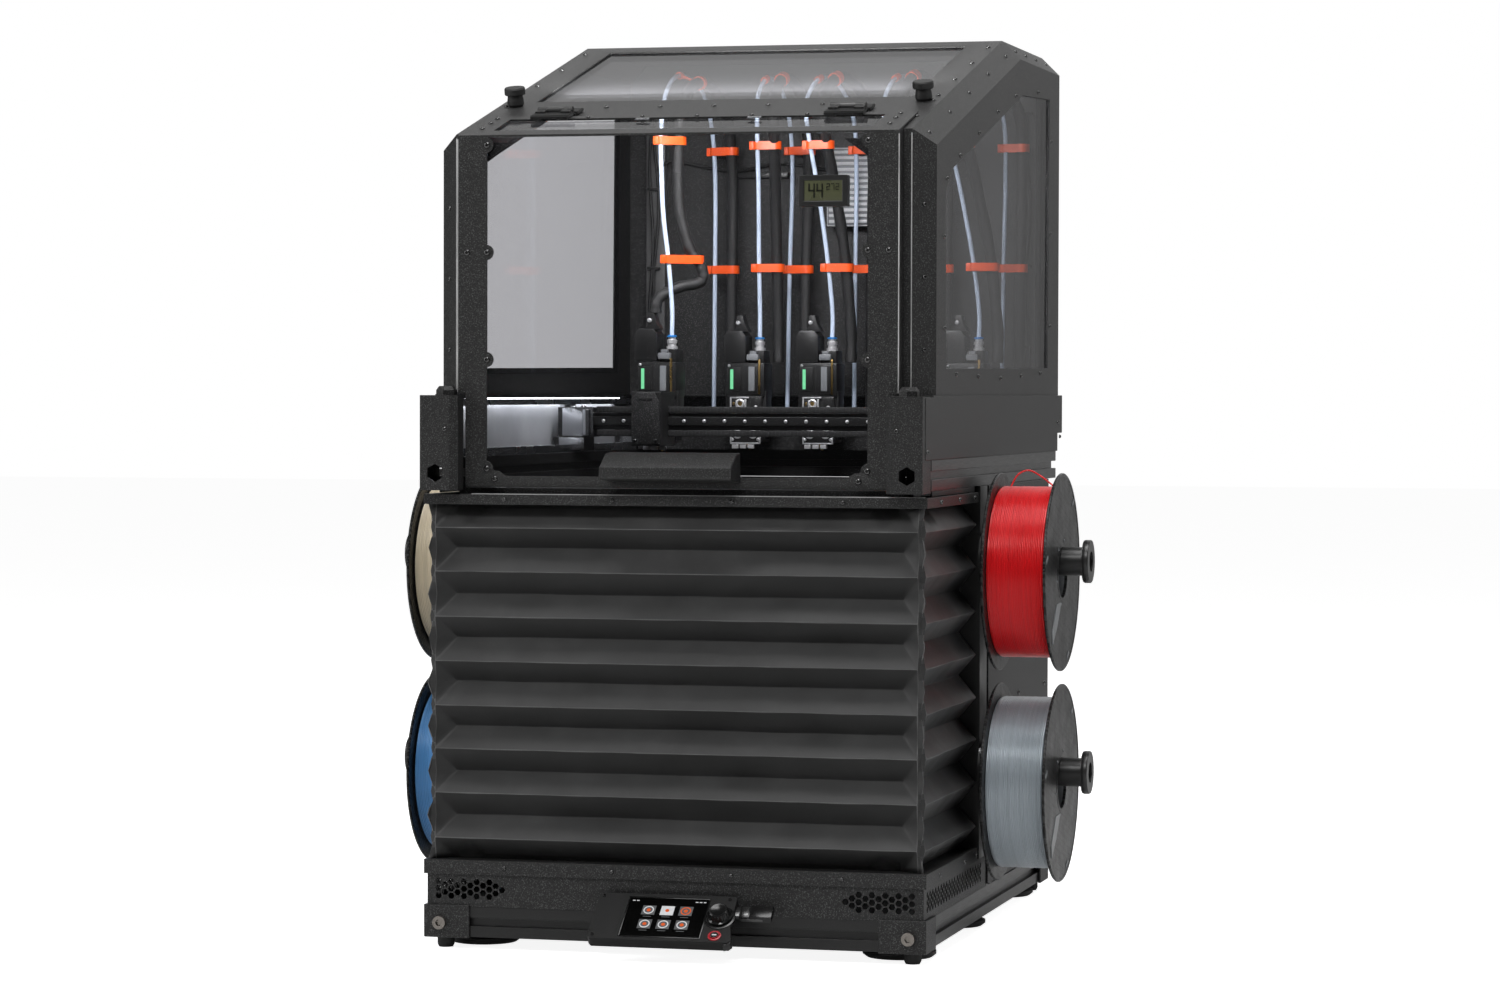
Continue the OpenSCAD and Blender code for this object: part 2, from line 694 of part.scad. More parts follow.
// Two rear motors with pulleys, two front idlers and the belt runs beside the side rails.
module belt_drive() from_front() {
    idler_y = 52;
    motor_y = 682;
    color("#19191a") for (s = [-1, 1]) translate([s * belt_x, motor_y, 0]) {
        slab(-14, 14, -16, 16, rail_z, rail_z + 18);
        translate([0, 0, rail_z + 18]) cylinder(d = 4, h = 32);
    }
    color(steel) for (s = [-1, 1]) {
        translate([s * belt_x, idler_y, 0]) {
            translate([0, 0, rail_z]) cylinder(d = 5, h = 50);
            translate([0, 0, 534]) cylinder(d = 12, h = 8);
        }
        translate([s * belt_x, motor_y, 534]) cylinder(d = 12, h = 8);
    }
    color("#0d0d0d") for (s = [-1, 1], side = [-1, 1])
        slab(s * belt_x + side * 6.7 - 0.7, s * belt_x + side * 6.7 + 0.7, idler_y, motor_y, 535, 541);
}

// How far each parked head's lead leans sideways at its top, and its rear run's own offset.
leans = [11, -14, -10, -24];
rears = [14, 5, 8, 9];

// Each route rises from head i, arches under the roof and comes down behind the heads.
function arch_route(i, x, start) = concat(start, [
    [x + 3 + leans[i] * 1.1, 545, 850], [x + 5 + leans[i], 552, 880],
    [x + 7 + leans[i] * 0.7 + rears[i] * 0.3, 584, 896],
    [x + 9 + leans[i] * 0.3 + rears[i] * 0.7, 626, 886],
    [x + 10 + rears[i], 658, 852], [x + 10 + rears[i], rear_leg_y, 790],
    [x + 10 + rears[i] * 0.8, rear_leg_y, 680], [x + 10 + rears[i] * 0.6, rear_leg_y, leg_z]
]);
tube_d = 5;
sleeve_d = 13;
lead_top = 785.5;
leg_z = 500.2;

function parked_tube(i) = let (x = (i - 1) * tool_pitch + 12) arch_route(i, x, [
    [x, dock_y + 20, 610], [x, dock_y + 20, 640], [x - 1 + leans[i] * 0.2, dock_y + 10, 700],
    [x + leans[i] * 0.6, dock_y - 14, 770]
]);
function parked_sleeve(i) = let (x = (i - 1) * tool_pitch + 31) arch_route(i, x, [
    [x, dock_y + 30, 582], [x, dock_y + 30, 620], [x - 1 + leans[i] * 0.2, dock_y + 16, 700],
    [x - 1 + leans[i] * 0.6, dock_y - 8, 770]
]);
active_tube_low = [
    [tool_x + 12, 454, 610], [tool_x + 12, 454, 640], [tool_x + 9, 450, 690],
    [tool_x + 4, 447, 740], [tool_x + 2, 446, lead_top]
];
active_tube_high = [
    [tool_x + 2, 446, lead_top + 0.5], [tool_x + 1, 447, 820], [tool_x + 1, 458, 862],
    [tool_x, 500, 890], [tool_x - 1, 562, 897], [tool_x, 620, 886], [tool_x + 1, 658, 850],
    [tool_x + 2, rear_leg_y, 790], [tool_x + 2, rear_leg_y, 680], [tool_x + 1, rear_leg_y, leg_z]
];
active_sleeve_low = [
    [tool_x - 6, 454, 634], [tool_x - 3, 455, 650], [tool_x + 16, 466, 662], [tool_x + 38, 474, 668],
    [tool_x + 40, 474, 682], [tool_x + 27, 468, 706], [tool_x + 18, 463, 744], [tool_x + 16, 461, lead_top]
];
active_sleeve_high = [
    [tool_x + 16, 461, lead_top + 0.5], [tool_x + 17, 462, 820], [tool_x + 18, 472, 858],
    [tool_x + 20, 508, 882], [tool_x + 21, 562, 889], [tool_x + 22, 618, 877], [tool_x + 23, 654, 842],
    [tool_x + 23, rear_leg_y, 780], [tool_x + 22, rear_leg_y, 680], [tool_x + 21, rear_leg_y, leg_z]
];

module guide_tubes() color("#9db8d6") from_front() {
    for (i = [0 : 3]) tube(parked_tube(i), tube_d);
    tube(active_tube_high, tube_d);
}

module cable_sleeves() color("#202020") from_front() {
    for (i = [0 : 3]) tube(parked_sleeve(i), sleeve_d);
    tube(active_sleeve_high, sleeve_d);
}

module active_lead() from_front() {
    color("#9db8d6") tube(active_tube_low, tube_d);
    color("#202020") tube(active_sleeve_low, sleeve_d);
}

// ---- bed ----------------------------------------------------------------------------

bed_z = 300;
screw_x = 205;
screw_y = 366;

module z_guides() from_front() {
    color(steel) for (s = [-1, 1]) translate([s * screw_x, screw_y + 45, base_top - 4])
        cylinder(d = 12, h = 400);
    color("#1b1b1c") for (s = [-1, 1]) translate([s * screw_x, screw_y, base_top])
        difference() {
            translate([-21, -21, 0]) cube([42, 42, 36]);
            translate([0, 0, 26]) cylinder(d = 8.1, h = 20);
        }
}

module lead_screw(x) color("#9a9da1") from_front()
    translate([x, screw_y, base_top + 26]) cylinder(d = 8, h = 385);
module lead_screw_left() lead_screw(-screw_x);
module lead_screw_right() lead_screw(screw_x);

module heated_bed() from_front() {
    color("#39393b") slab(-180, 180, 70, 430, bed_z, bed_z + 6);
    color("#4a4b4d") slab(-183, 183, 67, 433, bed_z + 6, bed_z + 8);
    color("#1e1e1f") difference() {
        union() {
            slab(-217, 217, screw_y - 25, screw_y + 60, bed_z - 22, bed_z - 6);
            slab(-150, 150, 90, screw_y - 25, bed_z - 18, bed_z - 8);
            for (x = [-120, 120], y = [110, 400]) translate([x, y, bed_z - 8]) cylinder(d = 12, h = 8);
        }
        for (s = [-1, 1]) {
            translate([s * screw_x, screw_y, 0]) cylinder(d = 8.1, h = 500);
            translate([s * screw_x, screw_y + 45, 0]) cylinder(d = 12.1, h = 500);
        }
    }
}

// ---- control panel ------------------------------------------------------------------

panel_len = 63;
panel_t = 11;
knob_at = [57, 33];
reset_at = [57, 8.5];

// Local frame of the panel's face: x across, y up the slope, z out of the face.
module on_panel() from_front() translate([0, -60, 24]) rotate([panel_tilt, 0, 0]) children();

module control_panel() color(black) {
    on_panel() difference() {
        translate([0, 0, -panel_t]) linear_extrude(panel_t) polygon([
            [-panel_w / 2 + 3, 0], [panel_w / 2 + 2, 0], [panel_w / 2 + 5, 4], [panel_w / 2, 26],
            [panel_w / 2, panel_len - 3], [panel_w / 2 - 3, panel_len], [-panel_w / 2 + 3, panel_len],
            [-panel_w / 2, panel_len - 3], [-panel_w / 2, 3]
        ]);
        slab(-37, 42, 5, 57, -1.6, 1);
        translate([knob_at[0], knob_at[1], -8]) cylinder(d = 6.1, h = 10);
        translate([reset_at[0], reset_at[1], -6]) cylinder(d = 8.1, h = 10);
        slab(60, 80, 39, 53, -8, -3);
    }
    from_front() {
        for (x = [-46, 34]) translate([x, 0, 0]) side_extrude(12)
            polygon([[-0.1, 18], [-0.1, 50], [-5, 53], [-42, 25.5], [-38, 18]]);
    }
}

module panel_screen() color("#0a0a0c") on_panel() slab(-37, 42, 5, 57, -1.6, -0.4);

module knob_shaft() color(steel) on_panel() translate([knob_at[0], knob_at[1], -6.4])
    cylinder(d = 6, h = 13);

module control_knob() color("#1a1a1a") on_panel() translate([knob_at[0], knob_at[1], 1.4]) difference() {
    union() {
        cylinder(d = 24, h = 2);
        translate([0, 0, 2]) cylinder(d1 = 21, d2 = 19, h = 8, $fn = 48);
    }
    translate([0, 0, -1]) cylinder(d = 6.04, h = 6.4);
}

module reset_button() color("#b02020") on_panel() translate([reset_at[0], reset_at[1], -4])
    cylinder(d = 8, h = 5.6);

module usb_stick() color("#55585b") on_panel() {
    slab(66, 74, 40, 52, -7.8, -3.2);
    slab(74, 106, 38, 54, -8.6, -2.4);
}

base_frame();
base_brackets();
base_screws();
feet();
base_tray();
vent_cover();
vertical_posts();
side_panels();
rear_panel();
electronics_cover();
power_inlet();
power_switch();
upper_frame();
corexy_covers();
front_brackets();
front_cross_bar();
hood_side_left();
hood_side_right();
side_windows();
hood_front_frame();
roof();
roof_window();
rear_wall();
air_filter();
exhaust_fan_rotor();
roof_bumpers();
hinge_base();
door_frame();
door_window();
door_top_window();
door_handle();
hygrometer();
bellows_bottom_bar();
bellows();
bellows_bar();
spool_holders();
spool_upper_right();
spool_lower_right();
spool_upper_left();
spool_lower_left();
y_rails();
x_beam();
tool_carriage();
active_tool();
active_lead();
parked_tools();
tool_dock();
belt_drive();
guide_tubes();
cable_sleeves();
z_guides();
lead_screw_left();
lead_screw_right();
heated_bed();
control_panel();
panel_screen();
knob_shaft();
control_knob();
reset_button();
usb_stick();
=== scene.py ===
"""Looks of an enclosed five-head 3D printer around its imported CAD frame.

Shapes are written in millimetres in the printer's own frame, where y = 0 is the front face
of the base, and Shape.piece() turns them into metres in the row frame.
"""
import json
import math
import random

import bmesh
import bpy
from mathutils import Matrix, Vector, noise


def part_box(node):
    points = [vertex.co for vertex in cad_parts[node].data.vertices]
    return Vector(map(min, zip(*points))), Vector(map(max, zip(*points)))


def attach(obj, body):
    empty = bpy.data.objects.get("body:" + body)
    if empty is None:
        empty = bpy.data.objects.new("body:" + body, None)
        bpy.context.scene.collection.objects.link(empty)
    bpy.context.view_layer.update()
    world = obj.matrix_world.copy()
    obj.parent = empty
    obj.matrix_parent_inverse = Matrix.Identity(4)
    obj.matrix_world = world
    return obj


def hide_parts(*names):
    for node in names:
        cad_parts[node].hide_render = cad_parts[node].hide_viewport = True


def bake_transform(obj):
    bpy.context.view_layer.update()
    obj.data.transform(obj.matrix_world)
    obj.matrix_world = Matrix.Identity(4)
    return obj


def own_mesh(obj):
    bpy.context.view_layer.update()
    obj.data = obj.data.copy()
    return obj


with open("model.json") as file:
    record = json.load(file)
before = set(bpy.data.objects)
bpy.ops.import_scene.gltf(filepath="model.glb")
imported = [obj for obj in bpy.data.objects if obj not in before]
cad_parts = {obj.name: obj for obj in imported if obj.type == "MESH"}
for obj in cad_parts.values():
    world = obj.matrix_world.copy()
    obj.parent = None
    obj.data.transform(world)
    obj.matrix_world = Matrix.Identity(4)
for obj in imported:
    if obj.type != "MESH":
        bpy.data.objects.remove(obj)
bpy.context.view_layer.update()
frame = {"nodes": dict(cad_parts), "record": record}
scene = bpy.context.scene

MM = 0.001
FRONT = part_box("base_frame")[0].y
TO_ROW = Matrix.Translation((0, FRONT, 0)) @ Matrix.Scale(MM, 4)
random.seed(7)


def local_box(node):
    """A CAD node's corners in millimetres in the printer's own frame."""
    lo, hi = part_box(node)
    back = TO_ROW.inverted()
    return back @ lo, back @ hi


# ---- main sizes, from the frame --------------------------------------------------------

HALF_W = local_box("base_frame")[1].x
HOOD_Y0 = local_box("hood_front_frame")[0].y
HOOD_Z0 = local_box("hood_front_frame")[0].z
ROOF_Z = local_box("roof")[1].z
HOOD_BACK = local_box("rear_wall")[1].y
CHAMFER = HALF_W - local_box("roof")[1].x
DOOR_LO, DOOR_HI = local_box("door_frame")
PLEATS = 8
PLEAT_D = 18
FOLD_HIGHLIGHT_WIDTH = 0.55
SLOPE = math.radians(15)
RIDGE_Y = 479
ROOF_FRONT_Z = ROOF_Z - (RIDGE_Y - HOOD_Y0) * math.tan(SLOPE)
PANEL_TILT = math.radians(37)
TOOL_PITCH = 83
PARKED_XS = [i * TOOL_PITCH for i in (-1, 0, 1, 2)]
DOCK_Y = local_box("parked_tools")[0].y
HEAD_Z = 484
TOOL_X = local_box("active_tool")[1].x - 22
TOOL_Y = local_box("active_tool")[0].y


def on_slope(x, up, out):
    """A point on the roof's sloping front: across, up the slope and out of it."""
    return Vector((
        x,
        HOOD_Y0 + up * math.cos(SLOPE) - out * math.sin(SLOPE),
        ROOF_FRONT_Z + up * math.sin(SLOPE) + out * math.cos(SLOPE),
    ))


PANEL = Matrix.Translation((0, -60, 24)) @ Matrix.Rotation(PANEL_TILT, 4, "X")
ROOF_FACE = Matrix.Translation((0, HOOD_Y0, ROOF_FRONT_Z)) @ Matrix.Rotation(SLOPE, 4, "X")


# ---- shape building --------------------------------------------------------------------

def frame_along(direction):
    """Two unit vectors across a direction."""
    d = direction.normalized()
    u = d.cross(Vector((1, 0, 0)) if abs(d.x) < 0.9 else Vector((0, 1, 0))).normalized()
    return u, d.cross(u)


class Shape:
    """A mesh under construction, in millimetres."""

    def __init__(self, place=None):
        self.bm = bmesh.new()
        self.place = place or Matrix.Identity(4)

    def box(self, x0, x1, y0, y1, z0, z1, bevel=0.6, turn=None):
        centre = Vector(((x0 + x1) / 2, (y0 + y1) / 2, (z0 + z1) / 2))
        size = Matrix.Diagonal((x1 - x0, y1 - y0, z1 - z0, 1))
        where = self.place @ Matrix.Translation(centre) @ (turn or Matrix.Identity(4)) @ size
        made = bmesh.ops.create_cube(self.bm, size=1, matrix=where)["verts"]
        if bevel:
            edges = {e for v in made for e in v.link_edges}
            bmesh.ops.bevel(self.bm, geom=list(edges), offset=bevel, segments=2, affect="EDGES", profile=0.6)
        return self

    def rings(self, rings, closed=False, caps=True):
        """Joins rings of equally many points by faces."""
        rows = [[self.bm.verts.new(self.place @ Vector(p)) for p in ring] for ring in rings]
        if closed:
            rows.append(rows[0])
        n = len(rows[0])
        for a, b in zip(rows, rows[1:]):
            for k in range(n):
                self.bm.faces.new((a[k], a[(k + 1) % n], b[(k + 1) % n], b[k]))
        if caps and not closed:
            self.bm.faces.new(list(reversed(rows[0])))
            self.bm.faces.new(rows[-1])
        return self

    def lathe(self, origin, axis, profile, sides=48, closed=False):
        """Turns (radius, height) points round an axis."""
        axis = Vector(axis).normalized()
        u, w = frame_along(axis)
        origin = Vector(origin)
        rings = []
        for r, h in profile:
            r = max(r, 0.01)
            rings.append([
                origin + axis * h + (u * math.cos(a) + w * math.sin(a)) * r
                for a in (2 * math.pi * k / sides for k in range(sides))
            ])
        return self.rings(rings, closed=closed)

    def rod(self, a, b, r, sides=20, edge=0.4):
        a, b = Vector(a), Vector(b)
        length = (b - a).length
        edge = min(edge, r * 0.4, length * 0.4)
        profile = [(r - edge, 0), (r, edge), (r, length - edge), (r - edge, length)]
        return self.lathe(a, b - a, profile, sides)

    def prism(self, outline, lo, hi, axes="yz", bevel=0.6):
        """An outline in two axes, extruded along the third from lo to hi."""
        third = ({"x", "y", "z"} - set(axes)).pop()

        def point(p, t):
            values = {axes[0]: p[0], axes[1]: p[1], third: t}
            return self.place @ Vector((values["x"], values["y"], values["z"]))

        rows = [[self.bm.verts.new(point(p, t)) for p in outline] for t in (lo, hi)]
        faces = [self.bm.faces.new(rows[0]), self.bm.faces.new(list(reversed(rows[1])))]
        n = len(outline)
        for k in range(n):
            after = (k + 1) % n
            faces.append(self.bm.faces.new((rows[0][k], rows[1][k], rows[1][after], rows[0][after])))
        bmesh.ops.recalc_face_normals(self.bm, faces=faces)
        if bevel:
            edges = {e for f in faces for e in f.edges}
            bmesh.ops.bevel(self.bm, geom=list(edges), offset=bevel, segments=2, affect="EDGES", profile=0.6)
        return self

    def tube(self, points, radius, sides=12):
        """A round tube along points; radius may be a function of the place along it, 0 to 1."""
        points = [Vector(p) for p in points]
        last = len(points) - 1
        rings = []
        for i, p in enumerate(points):
            ahead = points[min(i + 1, last)] - points[max(i - 1, 0)]
            u = ahead.cross(Vector((1, 0, 0))).normalized()
            w = ahead.normalized().cross(u)
            r = radius(i / last) if callable(radius) else radius
            turns = (2 * math.pi * k / sides for k in range(sides))
            rings.append([p + (u * math.cos(a) + w * math.sin(a)) * r for a in turns])
        return self.rings(rings)

    def screw(self, point, normal, d=5.5):
        """A button-head screw with a socket."""
        r = d / 2
        profile = [
            (r, -0.4), (r, 0.5), (r * 0.82, 1.3), (r * 0.5, 1.75), (r * 0.42, 1.75), (r * 0.42, 0.7), (0, 0.7)
        ]
        return self.lathe(point, normal, profile, sides=14)

    def piece(self, name, body, slot, material=None, smooth=38):
        """The finished object, in metres, riding on its body; with no body it is left without a parent."""
        bmesh.ops.recalc_face_normals(self.bm, faces=self.bm.faces)
        mesh = bpy.data.meshes.new(name)
        self.bm.to_mesh(mesh)
        self.bm.free()
        mesh.transform(TO_ROW)
        mesh.shade_smooth()
        mesh.set_sharp_from_angle(angle=math.radians(smooth))
        mesh.materials.append(material or MATERIALS[slot])
        obj = bpy.data.objects.new(name, mesh)
        scene.collection.objects.link(obj)
        if body:
            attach(obj, body)
        return obj


def catmull(points, steps):
    """A smooth curve through given points."""
    p = [Vector(q) for q in points]
    last = len(p) - 1
    out = []
    for i in range(last):
        a, b, c, d = p[max(i - 1, 0)], p[i], p[i + 1], p[min(i + 2, last)]
        for s in range(steps):
            t = s / steps
            out.append(0.5 * (
                2 * b + (c - a) * t + (2 * a - 5 * b + 4 * c - d) * t * t
                + (3 * b - a - 3 * c + d) * t * t * t
            ))
    return out + [p[last]]


# ---- materials -------------------------------------------------------------------------

class Nodes:
    """Short-hand for building one material's node tree."""

    def __init__(self, name):
        self.material = bpy.data.materials.new(name)
        self.material.use_nodes = True
        self.tree = self.material.node_tree
        self.tree.nodes.clear()
        self.out = self.add("ShaderNodeOutputMaterial")

    def add(self, kind, inputs=None, **settings):
        n = self.tree.nodes.new(kind)
        for key, value in settings.items():
            setattr(n, key, value)
        for key, value in (inputs or {}).items():
            if isinstance(value, bpy.types.NodeSocket):
                self.tree.links.new(value, n.inputs[key])
            else:
                n.inputs[key].default_value = value
        return n

    def coords(self, scale=(1, 1, 1), turn=(0, 0, 0)):
        place = self.add("ShaderNodeTexCoord").outputs["Object"]
        inputs = {"Vector": place, "Scale": scale, "Rotation": turn}
        return self.add("ShaderNodeMapping", inputs).outputs["Vector"]

    def noise(self, size_mm, detail=3.0, stretch=(1, 1, 1)):
        scale = tuple(1 / (size_mm * MM * s) for s in stretch)
        inputs = {"Vector": self.coords(scale), "Scale": 1.0, "Detail": detail, "Roughness": 0.6}
        return self.add("ShaderNodeTexNoise", inputs).outputs["Fac"]

    def ramp(self, factor, stops):
        n = self.add("ShaderNodeValToRGB", {"Fac": factor})
        while len(n.color_ramp.elements) < len(stops):
            n.color_ramp.elements.new(0.5)
        for element, (place, colour) in zip(n.color_ramp.elements, stops):
            element.position = place
            element.color = (*colour, 1)
        return n.outputs["Color"]

    def spread(self, factor, low, high, start=0.3, end=0.7):
        inputs = {"Value": factor, "From Min": start, "From Max": end, "To Min": low, "To Max": high}
        return self.add("ShaderNodeMapRange", inputs).outputs["Result"]

    def bump(self, height, depth_mm, strength=1.0, normal=None):
        inputs = {"Height": height, "Distance": depth_mm * MM, "Strength": strength}
        if normal is not None:
            inputs["Normal"] = normal
        return self.add("ShaderNodeBump", inputs).outputs["Normal"]

    def principled(self, **inputs):
        named = {key.replace("_", " "): value for key, value in inputs.items()}
        n = self.add("ShaderNodeBsdfPrincipled", named)
        self.tree.links.new(n.outputs["BSDF"], self.out.inputs["Surface"])
        return n


def grey(value, tint=(1, 1, 1)):
    return tuple(value * t for t in tint)


def moulded(name, colour, rough=0.45, grain_mm=0.5, depth=0.05, metallic=0.0, spread=0.25,
            stretch=(1, 1, 1), coat=0.0, specular=0.5):
    """Plastic, rubber or metal with a fine grain and slightly uneven colour and gloss."""
    n = Nodes(name)
    grain = n.noise(grain_mm, 4, stretch)
    patches = n.noise(60, 3)
    low, high = (tuple(c * k for c in colour) for k in (1 - spread, 1 + spread))
    base = n.ramp(n.add("ShaderNodeMath", {0: grain, 1: patches}, operation="MULTIPLY").outputs[0],
                  [(0.1, low), (0.45, high)])
    n.principled(
        Base_Color=base, Roughness=n.spread(patches, rough * 0.85, min(rough * 1.15, 1)), Metallic=metallic,
        Normal=n.bump(grain, depth, 0.6), Coat_Weight=coat, Coat_Roughness=0.15,
        Specular_IOR_Level=specular
    )
    return n.material


def powder_coat():
    """Black textured powder coat: coarse grain with glints painted lighter on its tops."""
    n = Nodes("powder_coat")
    grain = n.noise(1.1, 5)
    fine = n.noise(0.45, 2)
    patches = n.noise(90, 2)
    # Painted highlight: the grain's tops are coloured up to ten times lighter than its hollows, as glints.
    painted_glints = n.ramp(grain, [(0.44, grey(0.007)), (0.55, grey(0.013)), (0.64, grey(0.075))])
    rough = n.spread(fine, 0.4, 0.6)
    normal = n.bump(grain, 0.3, 0.6, n.bump(patches, 0.3, 0.15))
    n.principled(Base_Color=painted_glints, Roughness=rough, Normal=normal, Specular_IOR_Level=0.4)
    return n.material


def anodised():
    n = Nodes("anodised_profile")
    streaks = n.noise(0.5, 3, (1, 60, 1))
    base = n.ramp(streaks, [(0.3, grey(0.016)), (0.7, grey(0.034))])
    n.principled(Base_Color=base, Roughness=n.spread(streaks, 0.3, 0.42), Metallic=0.55,
                 Normal=n.bump(streaks, 0.03, 0.4))
    return n.material


def acrylic():
    """Thin smoky sheet: light passes with a tint, and the faces mirror a little."""
    n = Nodes("smoked_acrylic")
    haze = n.noise(40, 3)
    clear = n.add("ShaderNodeBsdfTransparent", {"Color": (0.9, 0.9, 0.91, 1)}).outputs[0]
    face = n.add("ShaderNodeBsdfPrincipled", {
        "Base Color": (0.03, 0.03, 0.032, 1), "Roughness": n.spread(haze, 0.03, 0.08), "IOR": 1.49,
    }).outputs[0]
    back = n.add("ShaderNodeNewGeometry").outputs["Backfacing"]
    inputs = {"Value": back, "To Min": 1.49, "To Max": 1 / 1.49}
    index = n.add("ShaderNodeMapRange", inputs).outputs["Result"]
    mirror = n.add("ShaderNodeFresnel", {"IOR": index}).outputs[0]
    mix = n.add("ShaderNodeMixShader", {0: mirror, 1: clear, 2: face})
    n.tree.links.new(mix.outputs[0], n.out.inputs["Surface"])
    return n.material


def bellows_fabric():
    """Coated cloth: a fine weave under a semi-matt film, scuffed in patches, with shade painted on its
    down-facing facets.
    """
    n = Nodes("bellows_fabric")
    weave = [
        n.add("ShaderNodeTexWave", {
            "Vector": n.coords((1, 1, 1)), "Scale": 420.0, "Distortion": 0.6, "Detail": 1.0,
        }, bands_direction=axis).outputs["Fac"]
        for axis in ("X", "Z")
    ]
    cloth = n.add("ShaderNodeMath", {0: weave[0], 1: weave[1]}, operation="MAXIMUM").outputs[0]
    patches = n.noise(55, 5)
    crumple = n.noise(16, 4)
    base = n.ramp(patches, [(0.3, grey(0.024)), (0.52, grey(0.031)), (0.75, grey(0.043))])
    # Painted shade: a facet's colour gets darker the more it faces down and lighter the more it faces up, as
    # light from above would fall.
    facing = n.add("ShaderNodeSeparateXYZ", {0: n.add("ShaderNodeNewGeometry").outputs["Normal"]}).outputs[2]
    painted_facing_shade = n.ramp(n.spread(facing, 0, 1, -0.9, 0.9), [(0.3, grey(0.34)), (0.62, grey(1.0))])
    layers = {0: 1.0, 6: base, 7: painted_facing_shade}
    shaded_cloth_colour = n.add("ShaderNodeMix", layers, data_type="RGBA", blend_type="MULTIPLY").outputs[2]
    normal = n.bump(cloth, 0.04, 0.35, n.bump(crumple, 0.4, 0.2))
    n.principled(Base_Color=shaded_cloth_colour, Roughness=n.spread(patches, 0.46, 0.6), Normal=normal, Sheen_Weight=0.06,
                 Sheen_Roughness=0.4, Specular_IOR_Level=0.42)
    return n.material


def twill():
    """Moulded flange face with slanted rows of small raised bricks."""
    n = Nodes("spool_plastic")
    split = n.add("ShaderNodeSeparateXYZ", {0: n.coords()})
    flat = n.add("ShaderNodeCombineXYZ", {0: split.outputs[1], 1: split.outputs[2]}).outputs[0]
    turned = n.add("ShaderNodeMapping", {"Vector": flat, "Rotation": (0, 0, math.radians(58))}).outputs[0]
    bricks = n.add("ShaderNodeTexBrick", {
        "Vector": turned, "Scale": 1.0, "Mortar Size": 0.0011, "Mortar Smooth": 0.4, "Brick Width": 0.0096,
        "Row Height": 0.0044, "Color1": (*grey(0.034), 1), "Color2": (*grey(0.016), 1),
        "Mortar": (*grey(0.001), 1),
    }, offset=0.5)
    raised = n.add("ShaderNodeMath", {0: 1.0, 1: bricks.outputs["Fac"]}, operation="SUBTRACT").outputs[0]
    n.principled(Base_Color=bricks.outputs["Color"], Roughness=n.spread(n.noise(20), 0.3, 0.42),
                 Specular_IOR_Level=0.35,
                 Normal=n.bump(raised, 0.9, 1.0))
    return n.material


def filament(name, colour, rough, metallic=0.0, coat=0.4):
    """Silky wound strand whose colour shifts a little from turn to turn."""
    n = Nodes(name)
    turns = n.noise(1.9, 2, (1, 200, 200))
    low, high = (tuple(c * k for c in colour) for k in (0.9, 1.06))
    base = n.ramp(turns, [(0.3, low), (0.7, high)])
    gloss = n.spread(n.noise(25), rough * 0.85, rough * 1.2)
    n.principled(Base_Color=base, Roughness=gloss, Metallic=metallic,
                 Coat_Weight=coat, Coat_Roughness=0.2, Normal=n.bump(turns, 0.1, 0.4))
    return n.material


def braid():
    n = Nodes("cable_sleeve")
    weave = [
        n.add("ShaderNodeTexWave", {
            "Vector": n.coords((1, 1, 1), (0, turn, 0)), "Scale": 260.0, "Distortion": 1.2,
        }, bands_direction="Z").outputs["Fac"]
        for turn in (0.9, -0.9)
    ]
    net = n.add("ShaderNodeMath", {0: weave[0], 1: weave[1]}, operation="MULTIPLY").outputs[0]
    base = n.ramp(net, [(0.1, grey(0.006)), (0.8, grey(0.045))])
    n.principled(Base_Color=base, Roughness=0.5, Normal=n.bump(net, 0.35, 0.7))
    return n.material


def glow(name, colour, strength, base=(0.004, 0.004, 0.004)):
    n = Nodes(name)
    spots = n.noise(4, 2)
    tone = n.ramp(spots, [(0.3, tuple(c * 0.85 for c in colour)), (0.7, colour)])
    n.principled(Base_Color=(*base, 1), Roughness=0.35, Specular_IOR_Level=0.06, Emission_Color=tone,
                 Emission_Strength=strength)
    return n.material


MATERIALS = {
    "powder_coat": powder_coat(),
    "anodised_profile": anodised(),
    "rubber": moulded("rubber", grey(0.013), 0.62, 0.7, 0.06),
    "black_plastic": moulded("black_plastic", grey(0.014), 0.36, 0.5, 0.05),
    "smoked_acrylic": acrylic(),
    "steel_parts": moulded("steel_parts", (0.56, 0.57, 0.59), 0.26, 0.4, 0.02, 1.0, 0.12, (1, 25, 1)),
    "dark_screws": moulded("dark_screws", grey(0.09), 0.2, 0.4, 0.02, 0.85),
    "bellows_fabric": bellows_fabric(),
    "filter_media": moulded("filter_media", (0.56, 0.57, 0.58), 0.55, 0.8, 0.1),
    "spool_plastic": twill(),
    "filament_red": filament("filament_red", (0.72, 0.004, 0.008), 0.34, 0.1, 0.2),
    "filament_silver": filament("filament_silver", (0.40, 0.45, 0.49), 0.34, 0.3),
    "filament_cream": filament("filament_cream", (0.60, 0.52, 0.38), 0.4),
    "filament_blue": filament("filament_blue", (0.09, 0.28, 0.58), 0.36, 0.1),
    "tube_blue": moulded("tube_blue", (0.60, 0.70, 0.86), 0.22, 3.0, 0.03, 0.0, 0.15, (1, 1, 8), 0.5),
    "cable_sleeve": braid(),
    "build_plate": moulded("build_plate", grey(0.05), 0.5, 0.6, 0.1, 0.5),
    "screen_glass": moulded("screen_glass", grey(0.002), 0.1, 8.0, 0.0, specular=0.06),
    "red_plastic": moulded("red_plastic", (0.42, 0.012, 0.02), 0.32, 0.5, 0.03),
}
ORANGE = moulded("orange_clip", (0.95, 0.10, 0.008), 0.38, 0.6, 0.04)
